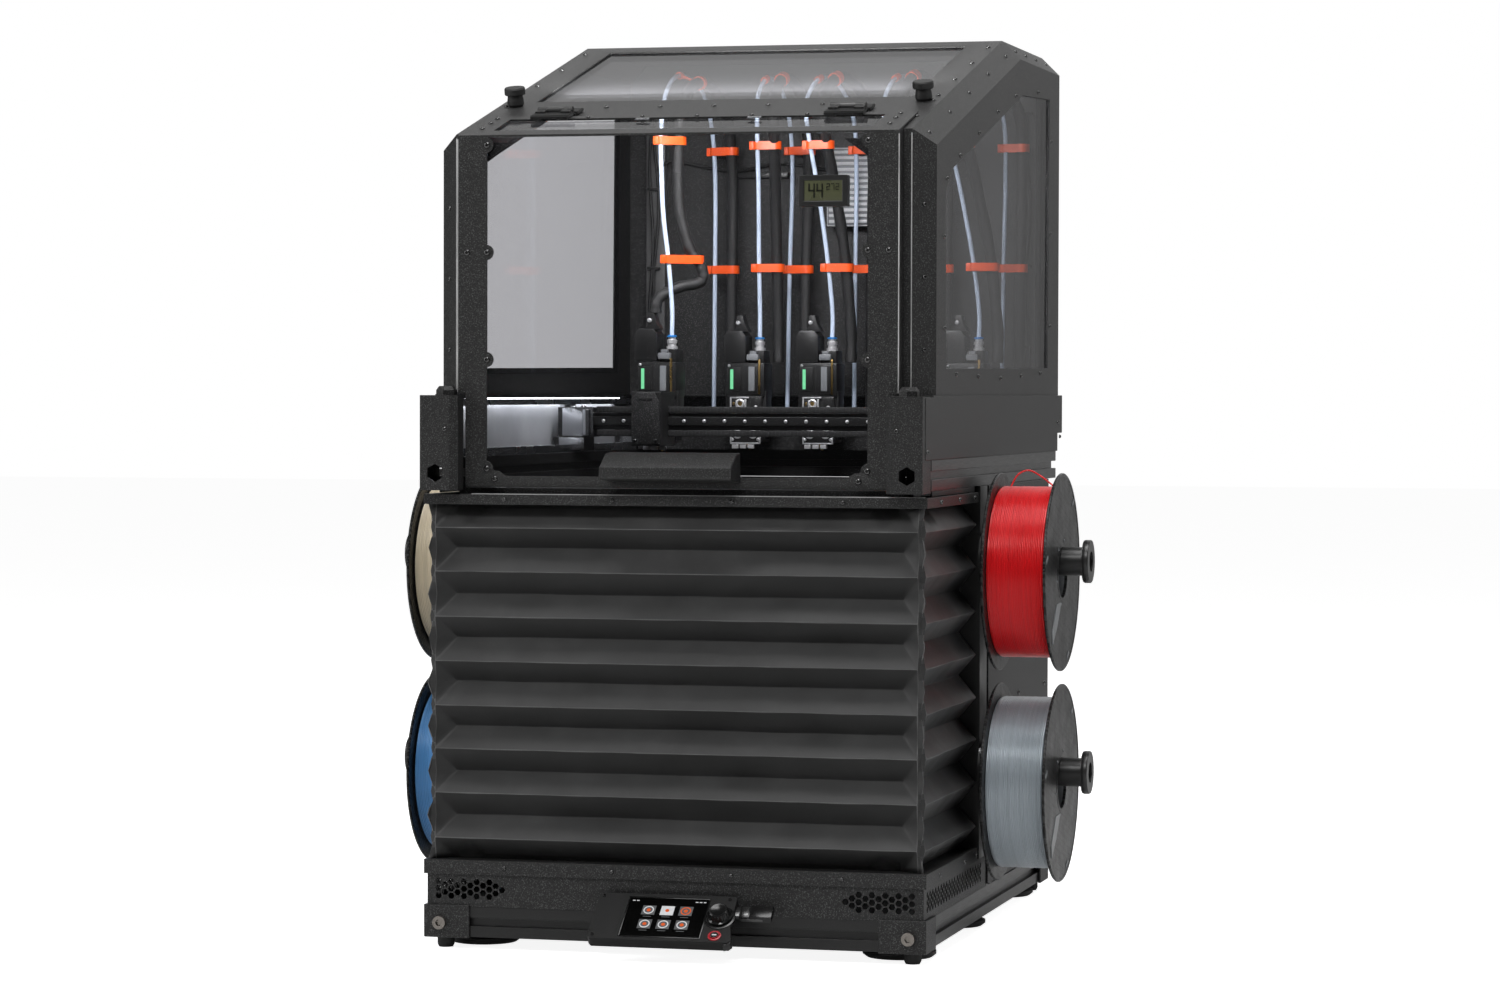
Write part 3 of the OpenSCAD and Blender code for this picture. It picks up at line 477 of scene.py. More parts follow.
BRASS = moulded("brass", (0.62, 0.42, 0.16), 0.28, 0.4, 0.02, 1.0, 0.15)
PLATE_STEEL = moulded("plate_steel", (0.66, 0.66, 0.67), 0.34, 0.5, 0.02, 0.55, 0.1)
PANEL_PLASTIC = moulded("panel_plastic", grey(0.009), 0.55, 0.9, 0.25, specular=0.22, spread=0.5)
KNOB_PLASTIC = moulded("knob_plastic", grey(0.006), 0.2, 0.6, 0.02, specular=0.4)
CHANNEL = moulded("corner_channel", grey(0.11), 0.42, 0.8, 0.08, 0.3)
# Lighter grey for the bellows' outer ridges: a painted highlight along the folds.
FOLD_HIGHLIGHT = moulded("painted_fold_highlight", grey(0.085), 0.5, 0.8, 0.1)
BOLT_STEEL = moulded("bolt_steel", (0.24, 0.22, 0.20), 0.3, 0.4, 0.02, 0.9, 0.15)
GREY_PLASTIC = moulded("grey_plastic", (0.20, 0.21, 0.22), 0.4, 0.5, 0.04)
COLLET_BLUE = moulded("collet_blue", (0.02, 0.22, 0.62), 0.35, 0.5, 0.03)
SCREEN_WHITE = glow("screen_white", (0.85, 0.86, 0.88), 0.8)
SCREEN_GREY = glow("screen_grey", (0.13, 0.135, 0.14), 0.8)
SCREEN_ORANGE = glow("screen_orange", (0.85, 0.13, 0.025), 0.85)
LCD_GREEN = moulded("lcd_green", (0.075, 0.08, 0.04), 0.3, 0.6, 0.0)
LCD_DIGIT = moulded("lcd_digit", (0.006, 0.007, 0.004), 0.3, 0.6, 0.0)
HEAD_LIGHT = glow("head_light", (0.25, 0.9, 0.45), 1.2)
LED_WHITE = glow("led_white", (0.95, 0.97, 1.0), 14.0)
LINER = moulded("wall_liner", (0.42, 0.43, 0.45), 0.42, 0.7, 0.05)
# Light grey for thin strips along sheet edges: painted edge highlights.
EDGE_HIGHLIGHT = moulded("painted_edge_highlight", (0.5, 0.5, 0.5), 0.4, 0.8, 0.08, 0.3, 0.4)


def dress_cad_nodes():
    """Every CAD node takes the procedural material of its record slot, and sheet edges are eased."""
    slots = {row["node"]: row["material_slot"] for row in frame["record"]["subparts"]}
    eased = {
        "door_frame": 0.7, "hood_side_left": 0.6, "hood_side_right": 0.6, "roof": 0.5, "corexy_covers": 0.6,
        "side_panels": 0.6, "base_brackets": 0.8, "control_panel": 1.0,
        "door_handle": 1.4, "bellows_bar": 0.7, "bellows_bottom_bar": 0.7, "electronics_cover": 0.7,
        "rear_wall": 0.5, "hygrometer": 0.6, "tool_dock": 0.6, "x_beam": 0.5, "tool_carriage": 0.8,
        "upper_frame": 0.5, "base_frame": 0.5, "air_filter": 0.5, "front_cross_bar": 0.5,
    }
    own = {"base_screws": BOLT_STEEL, "control_panel": PANEL_PLASTIC}
    for name, obj in frame["nodes"].items():
        for i in range(len(obj.data.materials)):
            obj.data.materials[i] = own.get(name, MATERIALS[slots[name]])
        if name in eased:
            weld = obj.modifiers.new("weld", "WELD")
            weld.merge_threshold = 1e-6
            bevel = obj.modifiers.new("ease", "BEVEL")
            bevel.width = eased[name] * MM
            bevel.segments = 2
            bevel.limit_method = "ANGLE"
            bevel.angle_limit = math.radians(40)
            obj.modifiers.new("normals", "WEIGHTED_NORMAL")


# ---- bellows ---------------------------------------------------------------------------

def make_bellows():
    """Pleated skirt round the front and both sides, folded back on itself at the corners."""
    lo, hi = local_box("bellows")
    half, front, back = hi.x, lo.y, hi.y
    fold_in = 26
    tuck = 8

    def section(t):
        """Points round the skirt at one crease level: t is 0 on an outer fold and 1 on an inner."""
        depth = PLEAT_D * t
        near = 1 + 5 * t
        tip = 6 - 5 * t
        side_ys = [back, back - 55, back - 110, back - 160, front + fold_in + 2]
        left = [(-half + depth, y) for y in side_ys]
        left += [(-half + near, front + tuck), (-half + tip, front + tip), (-half + tuck, front + near)]
        xs = [-half + fold_in + i * (2 * half - 2 * fold_in) / 14 for i in range(15)]
        middle = [(x, front + depth) for x in xs]
        right = [(-x, y) for x, y in reversed(left)]
        return left + middle + right

    shape = Shape()
    bm = shape.bm
    levels = 2 * PLEATS
    rows = []
    for i in range(levels + 1):
        t = 1 if i % 2 == 0 else 0
        z = lo.z + (hi.z - lo.z) * i / levels
        if 0 < i < levels:
            z += random.uniform(-1.1, 1.1)
        rows.append([bm.verts.new((x, y, z)) for x, y in section(t)])
    count = len(rows[0])
    gussets = {4: True, 7: False, count - 9: True, count - 6: False}
    for i in range(levels):
        low_valley = i % 2 == 0
        for k in range(count - 1):
            a, b, c, d = rows[i][k], rows[i][k + 1], rows[i + 1][k + 1], rows[i + 1][k]
            if k in gussets:
                inner_first = gussets[k] == low_valley
                tris = ((a, b, c), (a, c, d)) if inner_first else ((a, b, d), (b, c, d))
                for tri in tris:
                    bm.faces.new(tri)
            else:
                bm.faces.new((a, b, c, d))
    bm.normal_update()
    folds = [e for e in bm.edges if len(e.link_faces) == 2 and e.calc_face_angle(0) > math.radians(24)]
    highlight_bevel = bmesh.ops.bevel(
        bm, geom=folds, offset=FOLD_HIGHLIGHT_WIDTH, segments=1, affect="EDGES", profile=0.5, clamp_overlap=True
    )
    # The outward-facing bevels on the outer ridges take the lighter second material: a painted highlight
    # along the folds.
    for face in highlight_bevel["faces"]:
        face.normal_update()
        centre = face.calc_center_median()
        outer = centre.y < front + PLEAT_D * 0.3 or abs(centre.x) > half - PLEAT_D * 0.3
        face.material_index = 1 if outer and abs(face.normal.z) < 0.5 else 0
    long_edges = [e for e in bm.edges if e.calc_length() > 12]
    bmesh.ops.subdivide_edges(bm, edges=long_edges, cuts=3, use_grid_fill=True)
    bmesh.ops.triangulate(bm, faces=[f for f in bm.faces if len(f.verts) > 4])
    bm.normal_update()
    shifts = []
    for v in bm.verts:
        edge_share = min(1, (v.co.z - lo.z) / 12, (hi.z - v.co.z) / 12)
        wave = noise.noise(v.co / 38) * 1.1 + noise.noise(v.co / 15 + Vector((9, 4, 2))) * 0.22
        shifts.append(v.normal * wave * max(edge_share, 0))
    for v, shift in zip(bm.verts, shifts):
        v.co += shift
        v.co.x = min(max(v.co.x, -half - 2.5), half + 2.5)
    obj = shape.piece("bellows_skirt", "root", "bellows_fabric", smooth=24)
    obj.data.materials.append(FOLD_HIGHLIGHT)
    solid = obj.modifiers.new("cloth", "SOLIDIFY")
    solid.thickness = 0.7 * MM
    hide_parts("bellows")
    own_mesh(obj)


# ---- spools ----------------------------------------------------------------------------

def make_spool(node, strand):
    lo, hi = local_box(node)
    side = 1 if lo.x > 0 else -1
    near, far = (lo.x, hi.x) if side > 0 else (hi.x, lo.x)
    centre_y, centre_z = (lo.y + hi.y) / 2, (lo.z + hi.z) / 2
    rim, bore, wound = (hi.z - lo.z) / 2, 26.0, 87.0
    width = abs(far - near)
    axis = (side, 0, 0)
    start = (near, centre_y, centre_z)

    winding = Shape()
    pitch = 1.76
    turns = int((width - 6.4) / pitch)
    profile = [(bore + 1.2, 3.2)]
    for i in range(turns):
        h = 3.4 + i * pitch
        r = wound + random.uniform(-0.22, 0.1) - (1.0 if i in (0, turns - 1) else 0)
        profile += [(r - 0.62, h), (r - 0.12, h + 0.32), (r, h + 0.85), (r - 0.14, h + 1.4)]
    profile.append((bore + 1.2, width - 3.2))
    winding.lathe(start, axis, profile, sides=120, closed=True)
    obj = winding.piece(node + "_winding", node, strand, smooth=60)
    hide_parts(node)

    flanges = Shape()
    for base in (0, width - 3):
        outer_face, inner_face = (2.5, 0) if base else (3, 0.5)
        ring = [
            (bore, base), (bore, base + 3), (bore + 3, base + 3), (bore + 3.4, base + outer_face),
            (rim - 3.4, base + outer_face), (rim - 3, base + 3), (rim - 0.8, base + 3), (rim, base + 2.2),
            (rim, base + 0.8), (rim - 0.8, base), (rim - 3, base), (rim - 3.4, base + inner_face),
            (bore + 3.4, base + inner_face), (bore + 3, base),
        ]
        flanges.lathe(start, axis, ring, sides=120, closed=True)
    flanges.piece(node + "_flanges", node, "spool_plastic", smooth=30)

    core = Shape()
    tube = [(bore, 3), (bore + 1.5, 3), (bore + 1.5, width - 3), (bore, width - 3)]
    core.lathe(start, axis, tube, sides=80, closed=True)
    for k in range(6):
        a = math.radians(60 * k + 15)
        y, z = centre_y + math.cos(a) * (bore + 7), centre_z + math.sin(a) * (bore + 7)
        face = far + side * 0.2
        core.rod((face - side * 1.2, y, z), (face, y, z), 1.6, 12)
    slit = Matrix.Rotation(0.5, 4, "X")
    for k in range(3):
        a = math.radians(120 * k + 50)
        y, z = centre_y + math.cos(a) * 91, centre_z + math.sin(a) * 91
        slot_end = far + (0.35 if side > 0 else 0.6)
        core.box(far - 0.6, slot_end, y - 6, y + 6, z - 1.6, z + 1.6, 0.2, slit)
    blank = [(-10, -30), (-34, -31), (-60, -58), (-57, -71), (-31, -53)]
    faces = sorted((far - side * 0.5, far + side * 0.25))
    core.prism([(centre_y + y, centre_z + z) for y, z in blank], *faces, "yz", 0)
    core.piece(node + "_core", node, "black_plastic", GREY_PLASTIC)
    if node == "spool_upper_right":
        arc = catmull([
            (near + 12, centre_y, centre_z + 86), (near + 18, centre_y + 4, centre_z + 98),
            (near + 29, centre_y + 6, centre_z + 103), (near + 42, centre_y + 6, centre_z + 97),
            (near + 56, centre_y + 4, centre_z + 86.5),
        ], 8)
        loose = Shape().tube(arc, 0.9, 10)
        loose.piece("loose_strand", node, strand, smooth=60)


def make_spool_holder_details():
    """Rings and screws on the four fixed holders."""
    reach = local_box("spool_holders")[1].x
    shape = Shape()
    for side in (-1, 1):
        for node in ("spool_upper_right", "spool_lower_right"):
            box = local_box(node)
            z = (box[0].z + box[1].z) / 2 + 11.2
            y = (box[0].y + box[1].y) / 2
            cap = [(14.6, 0), (21.5, 0), (21.9, -1), (21.9, -5.6), (21.2, -6.6), (14.6, -6.6)]
            shape.lathe((side * reach, y, z), (side, 0, 0), [(r, h - 0.05) for r, h in cap], 48, closed=True)
            for k in range(4):
                a = math.radians(90 * k + 30)
                at = (side * 257, y + math.cos(a) * 24, z + math.sin(a) * 24)
                shape.screw(at, (side, 0, 0), 6)
    shape.piece("holder_caps", "root", "black_plastic")


# ---- heads, leads and clips -------------------------------------------------------------

def head_black(shape):
    """Housing, motor, fan box and lever arm of one print head."""
    shape.box(-18, 18, 5, 43, 9, 60, 1.5)
    shape.box(-22, 21, 4, 43, 60, 97, 1.8)
    shape.box(-3, 14, 2.4, 5, 63, 95, 0.8)
    shape.box(-21, -6, 2.8, 5, 66, 92, 0.6)
    shape.prism([(-26, 98), (-1, 98), (-1, 127), (-6, 133), (-22, 133),
                 (-26, 127)], 6, 37, "xz", 0.8)
    shape.prism([(-16, 132), (1, 132), (-4, 141), (-6, 150), (-13, 150),
                 (-13, 138)], 12, 28, "xz", 0.6)
    shape.box(1, 19, 10, 39, 97, 111, 1.0)
    shape.box(18.2, 22, 8, 34, 24, 66, 0.6)
    shape.box(-17, 17, 3.4, 5.2, 30, 42, 0.4)
    shape.box(-17.3, 17.3, 1.8, 4.4, 7.2, 27, 0.8)
    shape.box(-17.3, -10, 1.8, 4.4, 28, 59, 0.6)
    shape.box(6, 17, 2.4, 5.2, 43, 58, 0.6)
    for k in range(5):
        shape.box(17.6, 19.6, 12 + 5 * k, 14 + 5 * k, 12, 22, 0.3)


def head_steel(shape):
    """Changer plate with its frame, bushes, screws and the tube fitting."""
    for x0, x1, z0, z1 in (
        (-17.5, 17.5, 25.6, 27.2), (-17.5, 17.5, 7, 8.6), (-17.5, -15.9, 7, 27), (15.9, 17.5, 7, 27),
        (-17.5, -15.9, 28, 59), (-17.5, 4, 57.8, 59.4), (-11, -9.8, 28, 56), (-17.5, -10, 28, 29.4),
    ):
        shape.box(x0, x1, 0.9, 3, z0, z1, 0.4)
    shape.box(-1, 1, 1.6, 4, 40, 57, 0.4)
    shape.box(8, 17.5, 1.6, 4, 28, 31, 0.4)
    for dx, dz in ((-9, 18), (9, 18), (-6, 52)):
        ring = [(2.6, 0), (5.2, 0), (5.2, 1.6), (4.4, 2.2), (3.2, 2.2), (2.6, 1.5)]
        shape.lathe((dx, 1.8, dz), (0, -1, 0), [(r, h * 0.8) for r, h in ring], 28, closed=True)
    for dx, dz in ((12, 48), (-4, 34), (14, 36), (15, 12), (-15, 12), (7, 44)):
        shape.screw((dx, 1.8, dz), (0, -1, 0), 4)
    for k in range(3):
        shape.box(-15 + 9 * k, -8 + 9 * k, 0.6, 6, 2, 6.4, 0.5)
    shape.lathe((12, 20, 111), (0, 0, 1), [
        (6.2, 0), (6.2, 3), (4.8, 3.4), (4.8, 6.2), (5.6, 6.6), (5.6, 9.8), (4.2, 10.4), (4.2, 13.2),
        (2.7, 13.4),
    ], 24)
    shape.screw((-11, 11.8, 142), (0, -1, 0), 5)
    shape.screw((-19, 3.6, 94), (0, -1, 0), 3.4)


def head_brass(shape):
    shape.lathe((0, 24, 0), (0, 0, 1), [(1.2, 0), (1.4, 0.4), (3.8, 3.6), (4.6, 4), (4.6, 8.5)], 24)
    shape.box(14.6, 16.8, 2.2, 4.6, 62, 101, 0.5)
    for dx, dz in ((-9, 18), (9, 18), (-6, 52)):
        shape.rod((dx, 2, dz), (dx, 0.5, dz), 2.4, 20)
    for k in range(4):
        shape.box(-14.6, -12.4, 1.2, 2.4, 32 + 6 * k, 35.5 + 6 * k, 0.3)


def head_grey(shape):
    shape.box(0.6, 14, 3.4, 12, 100, 107, 1.4)
    shape.box(4, 11, 5, 12, 106.5, 110.5, 0.8)
    shape.box(3.5, 10.5, 1.2, 3, 66, 93, 0.6)


def head_blue(shape):
    ring = [(2.7, 0), (5.4, 0), (5.4, 1.4), (4.2, 2.0), (2.7, 2.0)]
    shape.lathe((12, 20, 124), (0, 0, 1), ring, 24, closed=True)


def head_glow(shape):
    shape.box(-17.6, -14.2, 1.9, 3.2, 68, 90, 0.4)


def make_heads():
    kinds = [
        ("housings", head_black, "black_plastic"), ("plates", head_steel, "steel_parts"),
        ("brass", head_brass, "steel_parts"), ("levers", head_grey, "black_plastic"),
        ("collets", head_blue, "tube_blue"), ("lights", head_glow, "tube_blue"),
    ]
    own = {
        "plates": PLATE_STEEL, "brass": BRASS, "levers": GREY_PLASTIC, "collets": COLLET_BLUE,
        "lights": HEAD_LIGHT,
    }
    for group, body, places in (
        ("parked", "root", [(x, DOCK_Y) for x in PARKED_XS]),
        ("active", "tool", [(TOOL_X, TOOL_Y)]),
    ):
        for kind, draw, slot in kinds:
            shape = Shape()
            for x, y in places:
                shape.place = Matrix.Translation((x, y, HEAD_Z))
                draw(shape)
            obj = shape.piece(f"{group}_{kind}", body, slot, own.get(kind))
            if kind == "housings":
                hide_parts(f"{group}_tools" if group == "parked" else "active_tool")


REAR_LEG_Y = 672
LEG_Z = 500.2


# How far each parked head's lead leans sideways at its top, and how far its rear run is set over.
LEANS = {-1: (11, 14), 0: (-14, 5), 1: (-10, 8), 2: (-24, 9)}


def arch_route(i, x, start):
    """From a head up, over in an arch under the roof and down behind the heads."""
    lean, rear = LEANS[i]
    return start + [
        (x + 3 + lean * 1.1, 545, 850), (x + 5 + lean, 552, 880), (x + 7 + lean * 0.7 + rear * 0.3, 584, 896),
        (x + 9 + lean * 0.3 + rear * 0.7, 626, 886), (x + 10 + rear, 658, 852),
        (x + 10 + rear, REAR_LEG_Y, 790), (x + 10 + rear * 0.8, REAR_LEG_Y, 680),
        (x + 10 + rear * 0.6, REAR_LEG_Y, LEG_Z),
    ]


def parked_tube(i):
    x, y, lean = i * TOOL_PITCH + 12, DOCK_Y, LEANS[i][0]
    return arch_route(i, x, [
        (x, y + 20, 610), (x, y + 20, 640), (x - 1 + lean * 0.2, y + 10, 700), (x + lean * 0.6, y - 14, 770)
    ])


def parked_sleeve(i):
    x, y, lean = i * TOOL_PITCH + 31, DOCK_Y, LEANS[i][0]
    return arch_route(i, x, [
        (x, y + 30, 582), (x, y + 30, 620), (x - 1 + lean * 0.2, y + 16, 700),
        (x - 1 + lean * 0.6, y - 8, 770),
    ])


LEAD_TOP = 786
TX = TOOL_X
ACTIVE_TUBE_LOW = [
    (TX + 12, 454, 610), (TX + 12, 454, 640), (TX + 9, 450, 690), (TX + 4, 447, 740), (TX + 2, 446, LEAD_TOP)
]
ACTIVE_TUBE_HIGH = [
    (TX + 2, 446, LEAD_TOP), (TX + 1, 447, 820), (TX + 1, 458, 862), (TX, 500, 890), (TX - 1, 562, 897),
    (TX, 620, 886), (TX + 1, 658, 850), (TX + 2, REAR_LEG_Y, 790), (TX + 2, REAR_LEG_Y, 680),
    (TX + 1, REAR_LEG_Y, LEG_Z),
]
ACTIVE_SLEEVE_LOW = [
    (TX - 6, 454, 634), (TX - 3, 455, 650), (TX + 16, 466, 662), (TX + 38, 474, 668), (TX + 40, 474, 682),
    (TX + 27, 468, 706), (TX + 18, 463, 744), (TX + 16, 461, LEAD_TOP),
]
ACTIVE_SLEEVE_HIGH = [
    (TX + 16, 461, LEAD_TOP), (TX + 17, 462, 820), (TX + 18, 472, 858), (TX + 20, 508, 882),
    (TX + 21, 562, 889), (TX + 22, 618, 877), (TX + 23, 654, 842), (TX + 23, REAR_LEG_Y, 780),
    (TX + 22, REAR_LEG_Y, 680), (TX + 21, REAR_LEG_Y, LEG_Z),
]
TUBE_R = 2.5
SLEEVE_R = 6.2


def sleeve_radius(t):
    return SLEEVE_R + 0.35 * math.sin(t * 90)


def crossing(points, z, rising):
    """Where a route passes a height, on its way up or down."""
    for a, b in zip(points, points[1:]):
        if (a.z <= z < b.z) if rising else (a.z > z >= b.z):
            return a.lerp(b, (z - a.z) / (b.z - a.z))
    return None


def clip(shape, a, b, height=9):
    """A flat band with a short tail, bent round a tube at a and a sleeve at b."""
    across = Vector((b.x - a.x, b.y - a.y, 0)).normalized()
    side = Vector((-across.y, across.x, 0))
    outline = []
    for centre, r, turn in ((b, SLEEVE_R + 0.8, 0), (a, TUBE_R + 0.8, math.pi)):
        for k in range(9):
            t = turn - math.pi / 2 + math.pi * k / 8
            outline.append((centre, across * math.cos(t) + side * math.sin(t), r))
    rings = []
    for out, dz in ((0, -height / 2), (1.3, -height / 2), (1.3, height / 2), (0, height / 2)):
        rings.append([Vector((c.x, c.y, (a.z + b.z) / 2 + dz)) + d * (r + out) for c, d, r in outline])
    shape.rings(rings, closed=True)
    tail = a - across * (TUBE_R + 3.5)
    middle = (a.z + b.z) / 2
    shape.box(tail.x - 3, tail.x + 3, tail.y - 1, tail.y + 1, middle - height / 2, middle + height / 2, 0.4)


def top_clip(shape, tube, sleeve, fraction):
    """A band over both runs where they arch under the roof."""
    i, j = (int(fraction * (len(p) - 1)) for p in (tube, sleeve))
    for points, k, r in ((tube, i, TUBE_R), (sleeve, j, SLEEVE_R)):
        along = (points[k + 1] - points[k - 1]).normalized()
        band = [(r + 0.3, -5), (r + 1.5, -5), (r + 1.5, 5), (r + 0.3, 5)]
        shape.lathe(points[k], along, band, 24, closed=True)
    a, b = tube[i], sleeve[j]
    shape.tube([a.lerp(b, t) for t in (0.12, 0.4, 0.7)], 1.6, 8)


def make_leads():
    tubes, sleeves, clips = Shape(), Shape(), Shape()
    for i in LEANS:
        tube, sleeve = catmull(parked_tube(i), 6), catmull(parked_sleeve(i), 6)
        tubes.tube(tube, TUBE_R, 14)
        sleeves.tube(sleeve, sleeve_radius, 16)
        for z in (687, 820):
            for rising in (True, False):
                clip(clips, crossing(tube, z, rising), crossing(sleeve, z, rising))
        top_clip(clips, tube, sleeve, 0.52)
    obj = tubes.piece("guide_tube_runs", "root", "tube_blue", smooth=60)
    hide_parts("guide_tubes")
    obj = sleeves.piece("sleeve_runs", "root", "cable_sleeve", smooth=60)
    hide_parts("cable_sleeves")
    clips.piece("lead_clips", "root", "red_plastic", ORANGE)

    high = (("root", "gantry"), (0, 505, 886), (0, 446, LEAD_TOP + 8))
    low = (("gantry", "tool"), (0, 446, LEAD_TOP - 8), (0, 454, 645))
    over_tube, over_sleeve = catmull(ACTIVE_TUBE_HIGH, 8), catmull(ACTIVE_SLEEVE_HIGH, 8)
    cuts = [next(k for k, p in enumerate(run) if p.y >= 562) for run in (over_tube, over_sleeve)]
    runs = {
        "rear": (over_tube[cuts[0]:], over_sleeve[cuts[1]:], None),
        "high": (over_tube[:cuts[0] + 1], over_sleeve[:cuts[1] + 1], high),
        "low": (catmull(ACTIVE_TUBE_LOW, 8), catmull(ACTIVE_SLEEVE_LOW, 8), low),
    }
    heights = {"rear": ((820, False), (687, False)), "high": ((820, True),), "low": ((692, True),)}
    for part, (tube, sleeve, joined) in runs.items():
        clips = Shape()
        for z, rising in heights[part]:
            clip(clips, crossing(tube, z, rising), crossing(sleeve, z, rising))
        if part == "high":
            top_clip(clips, tube, sleeve, 0.9)
        rider = None if joined else "root"
        strand = Shape().tube(tube, TUBE_R, 14)
        jacket = Shape().tube(sleeve, sleeve_radius, 16)
        objs = [
            strand.piece(f"active_tube_{part}", rider, "tube_blue", smooth=60),
            jacket.piece(f"active_sleeve_{part}", rider, "cable_sleeve", smooth=60),
            clips.piece(f"active_clips_{part}", rider, "red_plastic", ORANGE),
        ]
        if not joined:
            continue
        if part == "low":
            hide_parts("active_lead")
        for obj in objs:
            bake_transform(obj)


# ---- gantry and chamber -----------------------------------------------------------------

def make_gantry_details():
    lo, hi = local_box("x_beam")
    beam_y = (lo.y + hi.y) / 2
    screws, belts, blocks = Shape(), Shape(), Shape()
    for i in range(18):
        screws.screw((-190 + 22.4 * i, beam_y - 12.9, 517.5), (0, -1, 0), 4)
    for z in (529.6, 504.4):
        belts.box(-198, 198, beam_y - 13.6, beam_y - 9.2, z - 3.4, z + 3.4, 1.2)
        for i in range(99):
            belts.box(-197 + 4 * i, -195 + 4 * i, beam_y - 14.0, beam_y - 13.2, z - 3.0, z + 3.0, 0.2)
    belts.piece("beam_belts", "gantry", "rubber")
    for s in (-1, 1):
        for dy in (-18, 18):
            blocks.screw((s * 222, beam_y + dy, 532), (0, 0, 1), 6)
            blocks.rod((s * 234, beam_y + dy * 0.6, 500), (s * 234, beam_y + dy * 0.6, 541), 5.4, 28)
        outer, inner = s * 234, s * 199.4
        blocks.box(min(outer, inner), max(outer, inner), beam_y - 21, beam_y - 19.6, 500.6, 531.4, 0.6)
        blocks.box(s * 222 - 14, s * 222 + 14, beam_y - 27, beam_y - 25.6, 486, 499.4, 0.5)
        blocks.rod((s * 206, beam_y - 24, 502), (s * 206, beam_y - 24, 530), 4.6, 28)
    screws.piece("beam_screws", "gantry", "dark_screws", PLATE_STEEL)
    blocks.piece("saddle_details", "gantry", "steel_parts")


def make_carriage_cover():
    """Rounded cover on the carriage's front, plain where a name plate would be."""
    lo, hi = local_box("tool_carriage")
    shape = Shape()
    shape.prism([
        (lo.x + 1, lo.z + 2), (hi.x - 1, lo.z + 2), (hi.x - 1, hi.z - 12), (hi.x - 7, hi.z - 1),
        (lo.x + 7, hi.z - 1), (lo.x + 1, hi.z - 8)
    ], lo.y - 2.4, lo.y + 0.4, "xz", 1.0)
    shape.box(lo.x + 9, hi.x - 9, lo.y - 3.2, lo.y - 2, hi.z - 9, hi.z - 6, 0.4)
    shape.piece("carriage_cover", "tool", "black_plastic", MATERIALS["powder_coat"])
    screws = Shape()
    for x in (lo.x + 5, hi.x - 5):
        screws.screw((x, lo.y - 2.3, lo.z + 6), (0, -1, 0), 4)
    screws.piece("carriage_screws", "tool", "dark_screws")


def make_chamber():
    """Light bar, corner channels and their cables inside the hood."""
    light = Shape()
    light.box(-246, -240, 70, 640, 540, 542, 0.4)
    light.piece("light_bar", "root", "smoked_acrylic", LED_WHITE)
    liner = Shape()
    liner.box(-249.6, -248.6, 60, 650, 486, 541, 0.3)
    liner.box(248.6, 249.6, 60, 650, 486, 541, 0.3)
    liner.piece("wall_liners", "root", "powder_coat", LINER)
    seals = Shape()
    for x in (-249.5, 247.5):
        seals.box(x, x + 2, 34, 242, 448.6, 454, 0.3)
    seals.piece("side_seals", "root", "rubber")
    housing = Shape()
    housing.box(-248, -238, 60, 650, 542, 546, 0.5)
    channels = Shape()
    for x0, x1 in ((-226, -204), (206, 226)):
        channels.box(x0, x1, 700, 710.8, 552, 880, 1.2)
    channels.piece("corner_channels", "root", "powder_coat", CHANNEL)
    housing.box(-120, -60, 702, 710.8, 792, 798, 0.6)
    housing.piece("light_housing", "root", "black_plastic")
    cables = Shape()
    for x, drift in ((-219, 2.2), (-213, -2.6), (213, 2.0), (218, -2.4)):
        points = [
            (x + drift * math.sin(k * 1.1 + drift), 696 + 1.2 * math.cos(k * 0.9), 560 + 30 * k)
            for k in range(11)
        ]
        cables.tube(catmull(points, 4), 1.8, 8)
    points = [
        (-213, 696, 800), (-196, 700, 812), (-160, 704, 806), (-120, 704, 800), (-70, 704, 808),
        (-12, 702, 800),
    ]
    cables.tube(catmull(points, 6), 1.8, 8)
    cables.piece("chamber_cables", "root", "rubber")
    ties = Shape()
    for z in (600, 690, 780, 860):
        for x in (-216, 215.5):
            ties.box(x - 7, x + 7, 693, 700.5, z - 1.6, z + 1.6, 0.5)
    ties.piece("cable_ties", "root", "black_plastic")


# ---- screws and small plates -------------------------------------------------------------

def make_door_screws():
    shape = Shape()
    face = DOOR_LO.y
    for s in (-1, 1):
        for z in (473, 580, 685, 790):
            shape.screw((s * 191.5, face, z), (0, -1, 0), 6.4)
        shape.screw((s * 212, face, 685), (0, -1, 0), 6.4)
        for x in (62, 183):
            shape.screw((s * x, face - 0.9, 463), (0, -1, 0), 6.4)
        for up in (10, 38, 60):
            shape.screw(on_slope(s * 206, up, 3.2), on_slope(0, 0, 1) - on_slope(0, 0, 0), 5.4)
    for i in range(7):
        shape.screw(on_slope(-168 + 56 * i, 61.5, 3.2), on_slope(0, 0, 1) - on_slope(0, 0, 0), 4.6)
    shape.piece("door_screws", "door", "dark_screws")
    plates = Shape()
    for s in (-1, 1):
        inner = s * 192
        top = ROOF_FRONT_Z - 9.5
        corner = [(inner, top), (inner - s * 26, top), (inner, ROOF_FRONT_Z - 28)]
        plates.prism(corner, DOOR_LO.y + 5.3, DOOR_LO.y + 6.8, "xz", 0.3)
    plates.piece("door_gussets", "door", "powder_coat")


